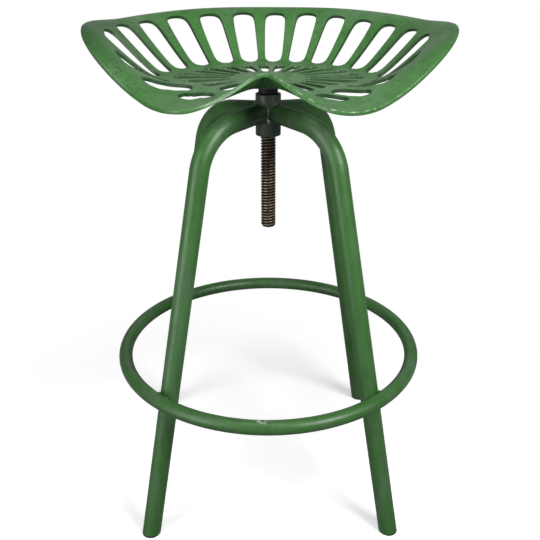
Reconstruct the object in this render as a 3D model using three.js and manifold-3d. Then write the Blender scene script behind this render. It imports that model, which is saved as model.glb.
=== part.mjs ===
import * as THREE from 'three';
import { mergeVertices } from 'three/addons/utils/BufferGeometryUtils.js';
import Module from 'manifold-3d';

// Stool with a slotted tractor seat on a screw spindle, in millimetres with +Z up. The origin is on the
// floor on the spindle's axis, the back of the seat is towards +Y, and the seat is at its lowest.

const wasm = await Module();
wasm.setup();

const { degToRad, lerp } = THREE.MathUtils;
const fullTurn = 2 * Math.PI;
const halfTurn = Math.PI;

// Clearances
const seatingGap = 0.3;
const threadGap = 0.2;
const cutOverrun = 3;

// Hub
const hubTopHeight = 575;
const hubLength = 54;
const hubRadius = 16.5;
const hubEdge = 1.2;
const hubSides = 30;

// Screw thread, right-handed
const pitch = 4;
const crestRadius = 10;
const coreRadius = 8;
const flankAngle = degToRad(15);
const threadSides = 10;

// Spindle
const spindleBottomHeight = 394;
const spindleTip = 1.8;

// Buffer ring and mount plate
const bufferHeight = 10.1;
const bufferRadius = 12.6;
const bufferEdge = 1;
const bufferSides = 24;
const plateHalfWidth = 32;
const plateThickness = 4;
const plateCornerRadius = 6;
const plateCornerSteps = 6;

// Screws that hold the pan to the plate
const screwHalfSpacing = 20;
const screwHeadRadius = 6;
const screwShankRadius = 3;
const screwSocketRadius = 2.3;
const screwSocketDepth = 1.8;
const screwSocketSides = 6;
const screwSides = 20;

// Legs
const legCount = 4;
const legTurn = degToRad(48);
const legRadius = 12.5;
const legWall = 2;
const legSides = 20;
const legLean = degToRad(12.84);
const legStubDrop = degToRad(6);
const legBelowHubTop = 24;
const legTurnOffsets = [0, 3.5, 0, 0].map(degToRad);
const legBendRadius = 66;
const legBendSteps = 7;
const footReach = 233.5;

// Foot plugs
const plugHeadHeight = 2.4;
const plugEdge = 0.9;
const plugStemLength = 18;
const plugSides = 20;

// Foot ring
const ringHeight = 207;
const ringBarRadius = 9.5;
const ringBarSides = 16;
const ringSides = 48;

// Seat pan
const panThickness = 4.5;
const rimThickness = 6;
const halfWidth = 235.5;
const sideRise = 59.3;
const backReach = 217;
const backRise = 68;
const lobeTurn = degToRad(152);
const lobeReach = 171;
const lobeRise = -10.3;
const pommelReach = 82.5;
const pommelRise = 20.2;
const panSides = 80;
const normalStep = 0.001;

// Extra rim stations, each as turn, reach and rise shares of the way from one named station to the next.
const backToSideShares = [[0.32, 0.32, 0.04], [0.72, 0.65, 0.65]];
const sideToLobeShares = [[0.5, 0.81, 0.88]];
const lobeToPommelShares = [[0.4, 0.6, 0.56], [0.7, 0.76, 0.93]];

// The floor is flat up to a share of the reach that grows from the back to the sides, but no further
// forwards than its straight front. From there the wall rises in an S, with its rise shares at its width
// shares.
const floorBackShare = 0.49;
const floorSideShare = 0.56;
const floorFront = 46;
const wallWidthShares = [0, 0.2, 0.75, 1];
const wallRiseShares = [0, 0.1, 0.84, 1];
const wallRowShares = [0, 0.17, 0.36, 0.56, 0.78];

// Slots of the outer row, from the left lobe round the back to the right lobe. The casting's spacing is
// uneven. Each has its turn from the back, and its outer end as a share of the reach.
const outerSlotTurns = [
  -136, -116, -98, -83.2, -71, -58.5, -43.3, -28.3, -13.2, 0.8,
  15.1, 28.4, 41.6, 55.1, 69, 81.5, 94, 111, 125, 137.3,
].map(degToRad);
const outerSlotEndShares = [
  0.77, 0.83, 0.825, 0.9, 0.924, 0.918, 0.92, 0.908, 0.911, 0.903,
  0.906, 0.895, 0.887, 0.886, 0.889, 0.87, 0.805, 0.8, 0.815, 0.765,
];
const outerSlotStartBackShare = 0.55;
const outerSlotStartSideShare = 0.59;
const outerSlotStartTurnShare = 1.05;
const outerStartWidthShare = 0.73;
const outerEndWidthShare = 0.65;

// Each slot of the inner row is centred between two outer slots, with one more at either end of the row.
const innerSlotStartRadius = 50;
const innerSlotEndBackShare = 0.45;
const innerSlotEndSideShare = 0.515;
const innerWidthShare = 0.6;

// Rows of a slot's rounded ends, as shares of its half width, and between its ends
const roundedEndShares = [0.15, 0.6, 1];
const outerSlotMiddleShares = [0.33, 0.67];

// Heights that follow from the pieces below
const bufferBottomHeight = hubTopHeight + seatingGap;
const plateBottomHeight = bufferBottomHeight + bufferHeight + seatingGap;
const plateTopHeight = plateBottomHeight + plateThickness;
const floorHeight = plateTopHeight + seatingGap + panThickness;

const seatGreen = new THREE.MeshStandardMaterial({ color: 0x467d41, roughness: 0.38, metalness: 0.15 });
const frameGreen = new THREE.MeshStandardMaterial({ color: 0x3f7040, roughness: 0.42, metalness: 0.15 });
const darkGreen = new THREE.MeshStandardMaterial({ color: 0x24352a, roughness: 0.55, metalness: 0.2 });
const rustySteel = new THREE.MeshStandardMaterial({ color: 0x4b4036, roughness: 0.5, metalness: 0.75 });
const plainSteel = new THREE.MeshStandardMaterial({ color: 0x8c8f8c, roughness: 0.4, metalness: 0.8 });
const blackRubber = new THREE.MeshStandardMaterial({ color: 0x17181a, roughness: 0.75, metalness: 0 });
const darkPlastic = new THREE.MeshStandardMaterial({ color: 0x1e2022, roughness: 0.6, metalness: 0 });

// A closed geometry as a solid that can be joined and cut
function toSolid(geometry) {
  const bare = new THREE.BufferGeometry();
  bare.setAttribute('position', geometry.getAttribute('position'));
  bare.setIndex(geometry.getIndex());
  const merged = mergeVertices(bare);
  return new wasm.Manifold(new wasm.Mesh({
    numProp: 3,
    vertProperties: new Float32Array(merged.getAttribute('position').array),
    triVerts: new Uint32Array(merged.getIndex().array),
  }));
}

function toGeometry(solid) {
  const { vertProperties, triVerts } = solid.getMesh();
  const geometry = new THREE.BufferGeometry();
  geometry.setAttribute('position', new THREE.BufferAttribute(vertProperties, 3));
  geometry.setIndex(new THREE.BufferAttribute(triVerts, 1));
  geometry.computeVertexNormals();
  return geometry;
}

// Outline given as [radius, height] pairs, turned about the Z axis
function turned(outline, sides) {
  const points = outline.map(([radius, height]) => new THREE.Vector2(radius, height));
  return new THREE.LatheGeometry(points, sides).rotateX(halfTurn / 2);
}

function rod(radius, bottom, top, sides) {
  return turned([[0, bottom], [radius, bottom], [radius, top], [0, top]], sides);
}

// Corner radius of a many-sided hole whose flats keep the given radius clear
function clearRadius(radius, sides) {
  return radius / Math.cos(halfTurn / sides);
}

// Curve between two values from the slopes at its ends
function hermite(start, end, startSlope, endSlope, share) {
  const square = share * share;
  const cube = square * share;
  return start * (2 * cube - 3 * square + 1) + end * (3 * square - 2 * cube)
    + startSlope * (cube - 2 * square + share) + endSlope * (cube - square);
}

// Value of a table at a place, on a smooth curve through its entries that is level at both ends
function smoothTable(places, values, place) {
  const last = places.length - 1;
  const slopeAt = (k) => (k === 0 || k === last ? 0
    : (values[k + 1] - values[k - 1]) / (places[k + 1] - places[k - 1]));
  let k = 0;
  while (k < last - 1 && place > places[k + 1]) k += 1;
  const span = places[k + 1] - places[k];
  const share = (place - places[k]) / span;
  return hermite(values[k], values[k + 1], slopeAt(k) * span, slopeAt(k + 1) * span, share);
}

// Rim of the pan, from the middle of the back round to the pommel
const backStation = { turn: 0, reach: backReach, rise: backRise };
const sideStation = { turn: halfTurn / 2, reach: halfWidth, rise: sideRise };
const lobeStation = { turn: lobeTurn, reach: lobeReach, rise: lobeRise };
const pommelStation = { turn: halfTurn, reach: pommelReach, rise: pommelRise };

function stationsBetween(from, to, shares) {
  return shares.map(([turnShare, reachShare, riseShare]) => ({
    turn: lerp(from.turn, to.turn, turnShare),
    reach: lerp(from.reach, to.reach, reachShare),
    rise: lerp(from.rise, to.rise, riseShare),
  }));
}

const rimStations = [
  backStation,
  ...stationsBetween(backStation, sideStation, backToSideShares),
  sideStation,
  ...stationsBetween(sideStation, lobeStation, sideToLobeShares),
  lobeStation,
  ...stationsBetween(lobeStation, pommelStation, lobeToPommelShares),
  pommelStation,
];
const rimTurns = rimStations.map((station) => station.turn);
const rimReaches = rimStations.map((station) => station.reach);
const rimRises = rimStations.map((station) => station.rise);

// Turns are taken from the back of the seat, and the rim is the same on both sides.
function turnFromBack(turn) {
  const wrapped = Math.abs(turn) % fullTurn;
  return Math.min(wrapped, fullTurn - wrapped);
}

function reachAt(turn) {
  return smoothTable(rimTurns, rimReaches, turnFromBack(turn));
}

// Share that changes smoothly from the back to the sides, and stays from there to the front
function shareAt(turn, backShare, sideShare) {
  return Math.cos(turn) > 0 ? lerp(backShare, sideShare, Math.sin(turn) ** 2) : sideShare;
}

function floorShareAt(turn) {
  const forwards = Math.max(0, -Math.cos(turn));
  return Math.min(shareAt(turn, floorBackShare, floorSideShare), floorFront / (forwards * reachAt(turn)));
}

// Point on the pan's upper face, at a share of the reach
function panPoint(turn, share) {
  const radius = share * reachAt(turn);
  const wallShare = (share - floorShareAt(turn)) / (1 - floorShareAt(turn));
  const rimRise = smoothTable(rimTurns, rimRises, turnFromBack(turn));
  const rise = wallShare > 0 ? rimRise * smoothTable(wallWidthShares, wallRiseShares, wallShare) : 0;
  return new THREE.Vector3(radius * Math.sin(turn), radius * Math.cos(turn), floorHeight + rise);
}

// Point above (or, when negative, below) the pan's upper face, along its normal
function offPan(turn, share, offset) {
  const point = panPoint(turn, share);
  if (share <= floorShareAt(turn)) return point.setZ(point.z + offset);
  const outward = panPoint(turn, share + normalStep).sub(panPoint(turn, share - normalStep));
  const around = panPoint(turn + normalStep, share).sub(panPoint(turn - normalStep, share));
  return point.addScaledVector(around.cross(outward).negate().normalize(), -offset);
}

// Section of the pan from the middle of the floor over the rim's rounded edge and back below
const rimRound = rimThickness / 2;
const edgeSteps = 4;
const floorCentre = { ofFloor: 0, ofWall: 0, inset: 0, depth: 0 };
const wallRows = wallRowShares.map((ofWall) => ({ ofFloor: 1, ofWall, inset: 0, depth: 0 }));
const upperRows = [floorCentre, ...wallRows];
const edgeRows = Array.from({ length: edgeSteps + 1 }, (unused, k) => {
  const angle = halfTurn * k / edgeSteps;
  return {
    ofFloor: 1,
    ofWall: 1,
    inset: rimRound * (1 - Math.sin(angle)),
    depth: rimRound * (1 - Math.cos(angle)),
  };
});
const lowerRows = upperRows.map((row) => ({ ...row, depth: panThickness })).reverse();
const panRows = [...upperRows, ...edgeRows, ...lowerRows];

function panBlank() {
  const blank = new THREE.LatheGeometry(panRows.map((row, k) => new THREE.Vector2(row.ofFloor, k)), panSides);
  const position = blank.getAttribute('position');
  for (let side = 0; side <= panSides; side += 1) {
    const turn = fullTurn * (side % panSides) / panSides;
    panRows.forEach(({ ofFloor, ofWall, inset, depth }, k) => {
      const share = ofFloor * lerp(floorShareAt(turn), 1, ofWall) - inset / reachAt(turn);
      const point = offPan(turn, share, -depth);
      position.setXYZ(side * panRows.length + k, point.x, point.y, point.z);
    });
  }
  return blank;
}

// Turn at a place in the outer row, counted in slots and continued past both of its ends
const lastSlot = outerSlotTurns.length - 1;

function slotTurn(place) {
  const k = Math.min(Math.max(Math.floor(place), 0), lastSlot - 1);
  return lerp(outerSlotTurns[k], outerSlotTurns[k + 1], place - k);
}

// Cutter for a slot with rounded ends. Its width at either end is a share of the slots' spacing, and its
// start is at a share of its turn. It is a box whose sides are at one and minus one, laid on the pan.
const boxSize = 2;

function slotCutter(place, start, end, middleShares) {
  const { share: startShare, turnShare, widthShare: startWidthShare } = start;
  const { share: endShare, widthShare: endWidthShare } = end;
  const turn = slotTurn(place);
  const halfSpacing = (slotTurn(place + 0.5) - slotTurn(place - 0.5)) / 2;
  const reach = reachAt(turn);
  const startRound = startShare * startWidthShare * halfSpacing;
  const slope = (panPoint(turn, endShare).z - panPoint(turn, endShare - startRound).z) / (startRound * reach);
  const endRound = endShare * endWidthShare * halfSpacing / Math.hypot(1, slope);
  const rounded = roundedEndShares.map((width) => ({ width, back: 1 - Math.sqrt(1 - width * width) }));
  const straightStart = startShare + startRound;
  const straightEnd = endShare - endRound;
  const rows = [
    ...rounded.map(({ width, back }) => ({ share: startShare + startRound * back, width })),
    ...middleShares.map((share) => ({ share: lerp(straightStart, straightEnd, share), width: 1 })),
    ...rounded.map(({ width, back }) => ({ share: endShare - endRound * back, width })).reverse(),
  ];
  const steps = rows.length - 1;
  const cutter = new THREE.BoxGeometry(boxSize, steps, boxSize, 1, steps, 1);
  const position = cutter.getAttribute('position');
  for (let k = 0; k < position.count; k += 1) {
    const row = rows[Math.round(position.getY(k) + steps / 2)];
    const offset = position.getZ(k) > 0 ? cutOverrun : -panThickness - cutOverrun;
    const along = (row.share - startShare) / (endShare - startShare);
    const rowTurn = turn * lerp(turnShare, 1, along);
    const side = position.getX(k) * row.width * halfSpacing * lerp(startWidthShare, endWidthShare, along);
    const point = offPan(rowTurn + side, row.share, offset);
    position.setXYZ(k, point.x, point.y, point.z);
  }
  return cutter;
}

function outerSlot(place) {
  const startShare = shareAt(slotTurn(place), outerSlotStartBackShare, outerSlotStartSideShare);
  const start = { share: startShare, turnShare: outerSlotStartTurnShare, widthShare: outerStartWidthShare };
  const end = { share: outerSlotEndShares[place], widthShare: outerEndWidthShare };
  return slotCutter(place, start, end, outerSlotMiddleShares);
}

function innerSlot(place) {
  const turn = slotTurn(place);
  const start = { share: innerSlotStartRadius / reachAt(turn), turnShare: 1, widthShare: innerWidthShare };
  const endShare = shareAt(turn, innerSlotEndBackShare, innerSlotEndSideShare);
  return slotCutter(place, start, { share: endShare, widthShare: innerWidthShare }, []);
}

// Countersunk screw, with the same outline for the screw and, with a gap, for its hole
const screwHeadHeight = screwHeadRadius - screwShankRadius;
const screwBottomHeight = plateBottomHeight;

function screwOutline(gap, headOverrun, bottom) {
  const coneShift = gap * Math.SQRT2;
  return [
    [0, bottom],
    [screwShankRadius + gap, bottom],
    [screwShankRadius + gap, floorHeight - screwHeadHeight + gap - coneShift],
    [screwHeadRadius + coneShift + headOverrun, floorHeight + headOverrun],
    [0, floorHeight + headOverrun],
  ];
}

const screwPlaces = [[1, -1], [1, 1], [-1, 1], [-1, -1]].map(([x, y]) => new THREE.Vector3(
  x * screwHalfSpacing,
  y * screwHalfSpacing,
  0,
));

function screwHole(place) {
  const outline = screwOutline(seatingGap, cutOverrun, plateBottomHeight - cutOverrun);
  return turned(outline, screwSides).translate(place.x, place.y, 0);
}

function seatPan() {
  let pan = toSolid(panBlank());
  for (let place = 0; place <= lastSlot; place += 1) {
    pan = pan.subtract(toSolid(outerSlot(place)));
  }
  for (let place = 0; place <= lastSlot + 1; place += 1) {
    pan = pan.subtract(toSolid(innerSlot(place - 0.5)));
  }
  for (const place of screwPlaces) {
    pan = pan.subtract(toSolid(screwHole(place)));
  }
  return toGeometry(pan);
}

function mountPlate() {
  const outline = new THREE.Shape();
  const inner = plateHalfWidth - plateCornerRadius;
  [[1, 1], [-1, 1], [-1, -1], [1, -1]].forEach(([x, y], k) => {
    outline.absarc(x * inner, y * inner, plateCornerRadius, k * halfTurn / 2, (k + 1) * halfTurn / 2, false);
  });
  const blank = new THREE.ExtrudeGeometry(outline, {
    depth: plateThickness,
    bevelEnabled: false,
    curveSegments: plateCornerSteps,
  });
  let plate = toSolid(blank.translate(0, 0, plateBottomHeight));
  for (const place of screwPlaces) {
    plate = plate.subtract(toSolid(screwHole(place)));
  }
  return toGeometry(plate);
}

function seatScrew() {
  const screw = toSolid(turned(screwOutline(0, 0, screwBottomHeight), screwSides));
  const socketBottom = floorHeight - screwSocketDepth;
  const socket = rod(screwSocketRadius, socketBottom, floorHeight + cutOverrun, screwSocketSides);
  return toGeometry(screw.subtract(toSolid(socket)));
}

// Screw thread of a rod as one helical ridge. Rods whose start heights differ by whole pitches mesh.
const flankRun = (crestRadius - coreRadius) * Math.tan(flankAngle);

function threadedRod(core, crest, ridgeWidth, startHeight, turns) {
  const profile = [
    [core, -(ridgeWidth + flankRun) / 2],
    [crest, -(ridgeWidth - flankRun) / 2],
    [crest, (ridgeWidth - flankRun) / 2],
    [core, (ridgeWidth + flankRun) / 2],
  ];
  const steps = threadSides * turns;
  const vertices = [];
  for (let step = 0; step <= steps; step += 1) {
    const angle = fullTurn * (step % threadSides) / threadSides;
    for (const [radius, offset] of profile) {
      const height = startHeight + pitch * step / threadSides + offset;
      vertices.push(radius * Math.cos(angle), radius * Math.sin(angle), height);
    }
  }
  const bottom = (steps + 1) * profile.length;
  const top = bottom + 1;
  vertices.push(0, 0, startHeight - pitch, 0, 0, startHeight + pitch * (turns + 1));
  const at = (step, k) => step * profile.length + k;
  const faces = [];
  const quad = (a, b, c, d) => faces.push(a, b, c, a, c, d);
  for (let step = 0; step < steps; step += 1) {
    for (let k = 0; k < 3; k += 1) {
      quad(at(step, k), at(step + 1, k), at(step + 1, k + 1), at(step, k + 1));
    }
    const above = step + threadSides;
    if (above < steps) quad(at(step, 3), at(step + 1, 3), at(above + 1, 0), at(above, 0));
  }
  for (let step = 0; step < threadSides; step += 1) {
    const last = steps - threadSides + step;
    faces.push(at(step + 1, 0), at(step, 0), bottom, at(last, 3), at(last + 1, 3), top);
  }
  for (let k = 0; k < 3; k += 1) {
    faces.push(at(0, k), at(0, k + 1), bottom, at(steps, k + 1), at(steps, k), top);
  }
  faces.push(at(0, 3), at(threadSides, 0), bottom, at(steps, 0), at(steps - threadSides, 3), top);
  const geometry = new THREE.BufferGeometry();
  geometry.setAttribute('position', new THREE.Float32BufferAttribute(vertices, 3));
  geometry.setIndex(faces);
  return geometry;
}

function threadBetween(core, crest, ridgeWidth, low, high) {
  const spareTurns = 2;
  const turnsBelow = Math.ceil((hubTopHeight - low) / pitch) + spareTurns;
  const turnsAbove = Math.ceil((high - hubTopHeight) / pitch) + spareTurns;
  return threadedRod(core, crest, ridgeWidth, hubTopHeight - turnsBelow * pitch, turnsBelow + turnsAbove);
}

function spindle() {
  const top = plateBottomHeight - seatingGap;
  const thread = threadBetween(coreRadius, crestRadius, pitch / 2 - threadGap, spindleBottomHeight, top);
  const outer = crestRadius + cutOverrun;
  const envelope = turned([
    [0, spindleBottomHeight],
    [crestRadius - spindleTip, spindleBottomHeight],
    [outer, spindleBottomHeight + spindleTip + cutOverrun],
    [outer, top],
    [0, top],
  ], hubSides);
  return toGeometry(toSolid(thread).intersect(toSolid(envelope)));
}

const hubBottomHeight = hubTopHeight - hubLength;
const threadMinorRadius = clearRadius(coreRadius + seatingGap, threadSides);
const threadMajorRadius = clearRadius(crestRadius + seatingGap, threadSides);

function hub() {
  const blank = turned([
    [0, hubBottomHeight],
    [hubRadius - hubEdge, hubBottomHeight],
    [hubRadius, hubBottomHeight + hubEdge],
    [hubRadius, hubTopHeight - hubEdge],
    [hubRadius - hubEdge, hubTopHeight],
    [0, hubTopHeight],
  ], hubSides);
  const low = hubBottomHeight - cutOverrun;
  const high = hubTopHeight + cutOverrun;
  const tap = threadBetween(threadMinorRadius, threadMajorRadius, pitch / 2 + threadGap, low, high);
  const mouth = turned([
    [0, hubBottomHeight - cutOverrun],
    [threadMajorRadius + cutOverrun, hubBottomHeight - cutOverrun],
    [coreRadius, hubBottomHeight + threadMajorRadius - coreRadius],
    [coreRadius, hubTopHeight - threadMajorRadius + coreRadius],
    [threadMajorRadius + cutOverrun, hubTopHeight + cutOverrun],
    [0, hubTopHeight + cutOverrun],
  ], hubSides);
  return toGeometry(toSolid(blank).subtract(toSolid(tap)).subtract(toSolid(mouth)));
}

function bufferRing() {
  const bore = clearRadius(crestRadius + seatingGap, bufferSides);
  const top = bufferBottomHeight + bufferHeight;
  return turned([
    [bore, bufferBottomHeight],
    [bufferRadius - bufferEdge, bufferBottomHeight],
    [bufferRadius, bufferBottomHeight + bufferEdge],
    [bufferRadius, top - bufferEdge],
    [bufferRadius - bufferEdge, top],
    [bore, top],
    [bore, bufferBottomHeight],
  ], bufferSides);
}

// Path through given stations, which an extrusion follows one by one
class StationPath extends THREE.Curve {
  constructor(points, directions) {
    super();
    this.points = points;
    this.directions = directions;
  }

  getPointAt(share) {
    return this.points[Math.round(share * (this.points.length - 1))].clone();
  }

  getTangentAt(share) {
    return this.directions[Math.round(share * (this.points.length - 1))].clone();
  }
}

// Middle line of a leg in its own plane, with X outwards: a short stub that drops a little from the hub,
// a bend, and the straight leg that leans outwards down to the floor.
const legTopHeight = hubTopHeight - legBelowHubTop;
const stubDirection = new THREE.Vector3(Math.cos(legStubDrop), 0, -Math.sin(legStubDrop));
const shinDirection = new THREE.Vector3(Math.sin(legLean), 0, -Math.cos(legLean));

function legReachAt(height) {
  return footReach - height * Math.tan(legLean);
}

function legPath() {
  const fall = Math.tan(legStubDrop);
  const run = Math.tan(legLean);
  const cornerReach = (footReach - run * (legTopHeight + hubRadius * fall)) / (1 - run * fall);
  const corner = new THREE.Vector3(cornerReach, 0, legTopHeight - (cornerReach - hubRadius) * fall);
  const bend = halfTurn / 2 - legStubDrop - legLean;
  const bendStart = corner.clone().addScaledVector(stubDirection, -legBendRadius * Math.tan(bend / 2));
  const inward = new THREE.Vector3(-stubDirection.z, 0, stubDirection.x).negate();
  const centre = bendStart.clone().addScaledVector(inward, legBendRadius);
  const points = [bendStart.clone().addScaledVector(stubDirection, -bendStart.x / stubDirection.x)];
  const directions = [stubDirection];
  for (let step = 0; step <= legBendSteps; step += 1) {
    const angle = legStubDrop + bend * step / legBendSteps;
    const point = new THREE.Vector3(Math.sin(angle), 0, Math.cos(angle));
    points.push(point.multiplyScalar(legBendRadius).add(centre));
    directions.push(new THREE.Vector3(Math.cos(angle), 0, -Math.sin(angle)));
  }
  const foot = new THREE.Vector3(legReachAt(-cutOverrun), 0, -cutOverrun);
  points.push(foot.addScaledVector(shinDirection, legRadius));
  directions.push(shinDirection);
  return new StationPath(points, directions);
}

// Turn of a leg, in order round the hub
function legTurnAt(k) {
  return legTurn + fullTurn * k / legCount + legTurnOffsets[(k + legCount) % legCount];
}

// Leg tube, cut to the hub, to the neighbouring legs and level above its foot plug
function leg(k) {
  const section = new THREE.Shape().absarc(0, 0, legRadius, 0, fullTurn, false);
  section.holes.push(new THREE.Path().absarc(0, 0, legRadius - legWall, 0, fullTurn, true));
  const path = legPath();
  const tube = new THREE.ExtrudeGeometry(section, {
    steps: path.points.length - 1,
    curveSegments: legSides / 2,
    extrudePath: path,
  });
  const halfBefore = (legTurnAt(k) - legTurnAt(k - 1)) / 2;
  const halfAfter = (legTurnAt(k + 1) - legTurnAt(k)) / 2;
  const apex = seatingGap / 2 / Math.sin(Math.min(halfBefore, halfAfter));
  const far = footReach + legRadius * 2;
  const room = new THREE.Shape([
    new THREE.Vector2(apex, 0),
    new THREE.Vector2(far, -(far - apex) * Math.tan(halfBefore)),
    new THREE.Vector2(far, (far - apex) * Math.tan(halfAfter)),
  ]);
  const bottom = plugHeadHeight + seatingGap;
  const roomBlock = new THREE.ExtrudeGeometry(room, { depth: hubTopHeight - bottom, bevelEnabled: false });
  const hubCutRadius = clearRadius(hubRadius + seatingGap, hubSides);
  const hubCut = rod(hubCutRadius, hubBottomHeight - legRadius, hubTopHeight, hubSides);
  const cutToRoom = toSolid(tube).intersect(toSolid(roomBlock.translate(0, 0, bottom)));
  return toGeometry(cutToRoom.subtract(toSolid(hubCut)));
}

// Plug in the leg's lower end. Its level sections are those of the leaning tube: stretched outwards, and
// moved inwards with height.
function footPlug() {
  const stemRadius = legRadius - legWall - seatingGap;
  const stemTop = plugHeadHeight + plugStemLength;
  const plug = turned([
    [0, 0],
    [legRadius - plugEdge, 0],
    [legRadius, plugEdge],
    [legRadius, plugHeadHeight],
    [stemRadius, plugHeadHeight],
    [stemRadius, stemTop - plugEdge],
    [stemRadius - plugEdge, stemTop],
    [0, stemTop],
  ], plugSides);
  const lean = new THREE.Matrix4().makeShear(0, 0, 0, 0, -Math.tan(legLean), 0);
  return plug.scale(1 / Math.cos(legLean), 1, 1).applyMatrix4(lean).translate(footReach, 0, 0);
}

// The ring's bar lies against the outer side of every leg.
function footRing() {
  const standoff = (legRadius + ringBarRadius + seatingGap) / Math.cos(legLean);
  const reach = legReachAt(ringHeight) + standoff;
  const ring = new THREE.TorusGeometry(reach, ringBarRadius, ringBarSides, ringSides);
  return ring.rotateZ(legTurn).translate(0, 0, ringHeight);
}

function piece(name, geometry, material) {
  const mesh = new THREE.Mesh(geometry, material);
  mesh.name = name;
  return mesh;
}

const stool = new THREE.Group();
stool.name = 'tractor_seat_stool';

const seat = new THREE.Group();
seat.add(piece('seat_pan', seatPan(), seatGreen));
seat.add(piece('mount_plate', mountPlate(), darkGreen));
seat.add(piece('spindle', spindle(), rustySteel));
seat.add(piece('buffer_ring', bufferRing(), blackRubber));
const screwGeometry = seatScrew();
['front_right', 'back_right', 'back_left', 'front_left'].forEach((place, k) => {
  const screw = piece(`seat_screw_${place}`, screwGeometry, plainSteel);
  screw.position.copy(screwPlaces[k]);
  seat.add(screw);
});
stool.add(seat);

const base = new THREE.Group();
base.add(piece('hub', hub(), darkGreen));
base.add(piece('foot_ring', toGeometry(toSolid(footRing())), frameGreen));
const plugGeometry = footPlug();
['back_right', 'back_left', 'front_left', 'front_right'].forEach((place, k) => {
  const quarter = new THREE.Group();
  quarter.rotation.z = legTurnAt(k);
  quarter.add(piece(`leg_${place}`, leg(k), frameGreen));
  quarter.add(piece(`foot_plug_${place}`, plugGeometry, darkPlastic));
  base.add(quarter);
});
stool.add(base);

export default stool;
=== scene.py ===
from math import cos, hypot, pi, radians, sin, sqrt, tan, tau

import bmesh
import bpy
from bpy.props import FloatProperty, FloatVectorProperty, PointerProperty
from mathutils import Matrix, Vector, noise


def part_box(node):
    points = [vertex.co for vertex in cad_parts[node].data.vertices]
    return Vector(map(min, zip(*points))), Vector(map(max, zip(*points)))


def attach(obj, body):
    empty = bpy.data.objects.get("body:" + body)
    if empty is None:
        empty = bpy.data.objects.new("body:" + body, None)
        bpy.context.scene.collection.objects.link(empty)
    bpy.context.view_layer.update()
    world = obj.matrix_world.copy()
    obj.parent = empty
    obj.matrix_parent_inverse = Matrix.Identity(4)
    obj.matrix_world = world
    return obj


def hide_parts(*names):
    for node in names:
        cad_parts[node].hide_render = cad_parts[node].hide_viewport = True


bl_info = {
    "name": "Tractor seat stool",
    "version": (1, 0, 0),
    "blender": (4, 5, 0),
    "location": "View3D > Sidebar > Stool",
    "description": "Builds a stool with a slotted tractor seat on a screw spindle, four legs and a foot ring",
    "category": "Add Mesh",
}

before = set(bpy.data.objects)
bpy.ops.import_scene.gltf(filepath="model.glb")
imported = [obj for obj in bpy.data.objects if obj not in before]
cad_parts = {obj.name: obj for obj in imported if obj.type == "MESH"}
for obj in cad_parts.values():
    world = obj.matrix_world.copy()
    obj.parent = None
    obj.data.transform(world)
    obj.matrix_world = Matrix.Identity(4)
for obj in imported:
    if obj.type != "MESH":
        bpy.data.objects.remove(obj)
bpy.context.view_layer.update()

Z_AXIS = Vector((0, 0, 1))
Y_AXIS = Vector((0, 1, 0))
ORIGIN = Vector((0, 0, 0))
LEG_PLACES = ["back_right", "back_left", "front_left", "front_right"]
SCREW_PLACES = {"front_right": (1, -1), "back_right": (1, 1), "back_left": (-1, 1), "front_left": (-1, -1)}

# Clearances that the solids have and the pieces here keep
SEATING_GAP = 0.0003
THREAD_GAP = 0.0002

# How near points are to count as one, and to lie on a cutting plane
SAME_POINT = 1e-6
ON_PLANE = 1e-7


def node_low(node):
    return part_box(node)[0]


def node_high(node):
    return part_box(node)[1]


def srgb(red, green, blue):
    """Linear colour of a shade given on a scale of 255."""
    def linear(part):
        part /= 255
        return part / 12.92 if part < 0.04045 else ((part + 0.055) / 1.055) ** 2.4
    return (linear(red), linear(green), linear(blue), 1.0)


def length(name, description, default):
    return FloatProperty(
        name=name, description=description, default=default, unit="LENGTH", subtype="DISTANCE"
    )


def angle(name, description, degrees):
    return FloatProperty(
        name=name, description=description, default=radians(degrees), unit="ROTATION", subtype="ANGLE"
    )


def share(name, description, default):
    return FloatProperty(name=name, description=description, default=default, subtype="FACTOR")


def power(name, description, default):
    return FloatProperty(name=name, description=description, default=default, unit="POWER")


def colour(name, description, shade):
    return FloatVectorProperty(
        name=name, description=description, default=shade, size=4, subtype="COLOR", min=0, max=1
    )


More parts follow.
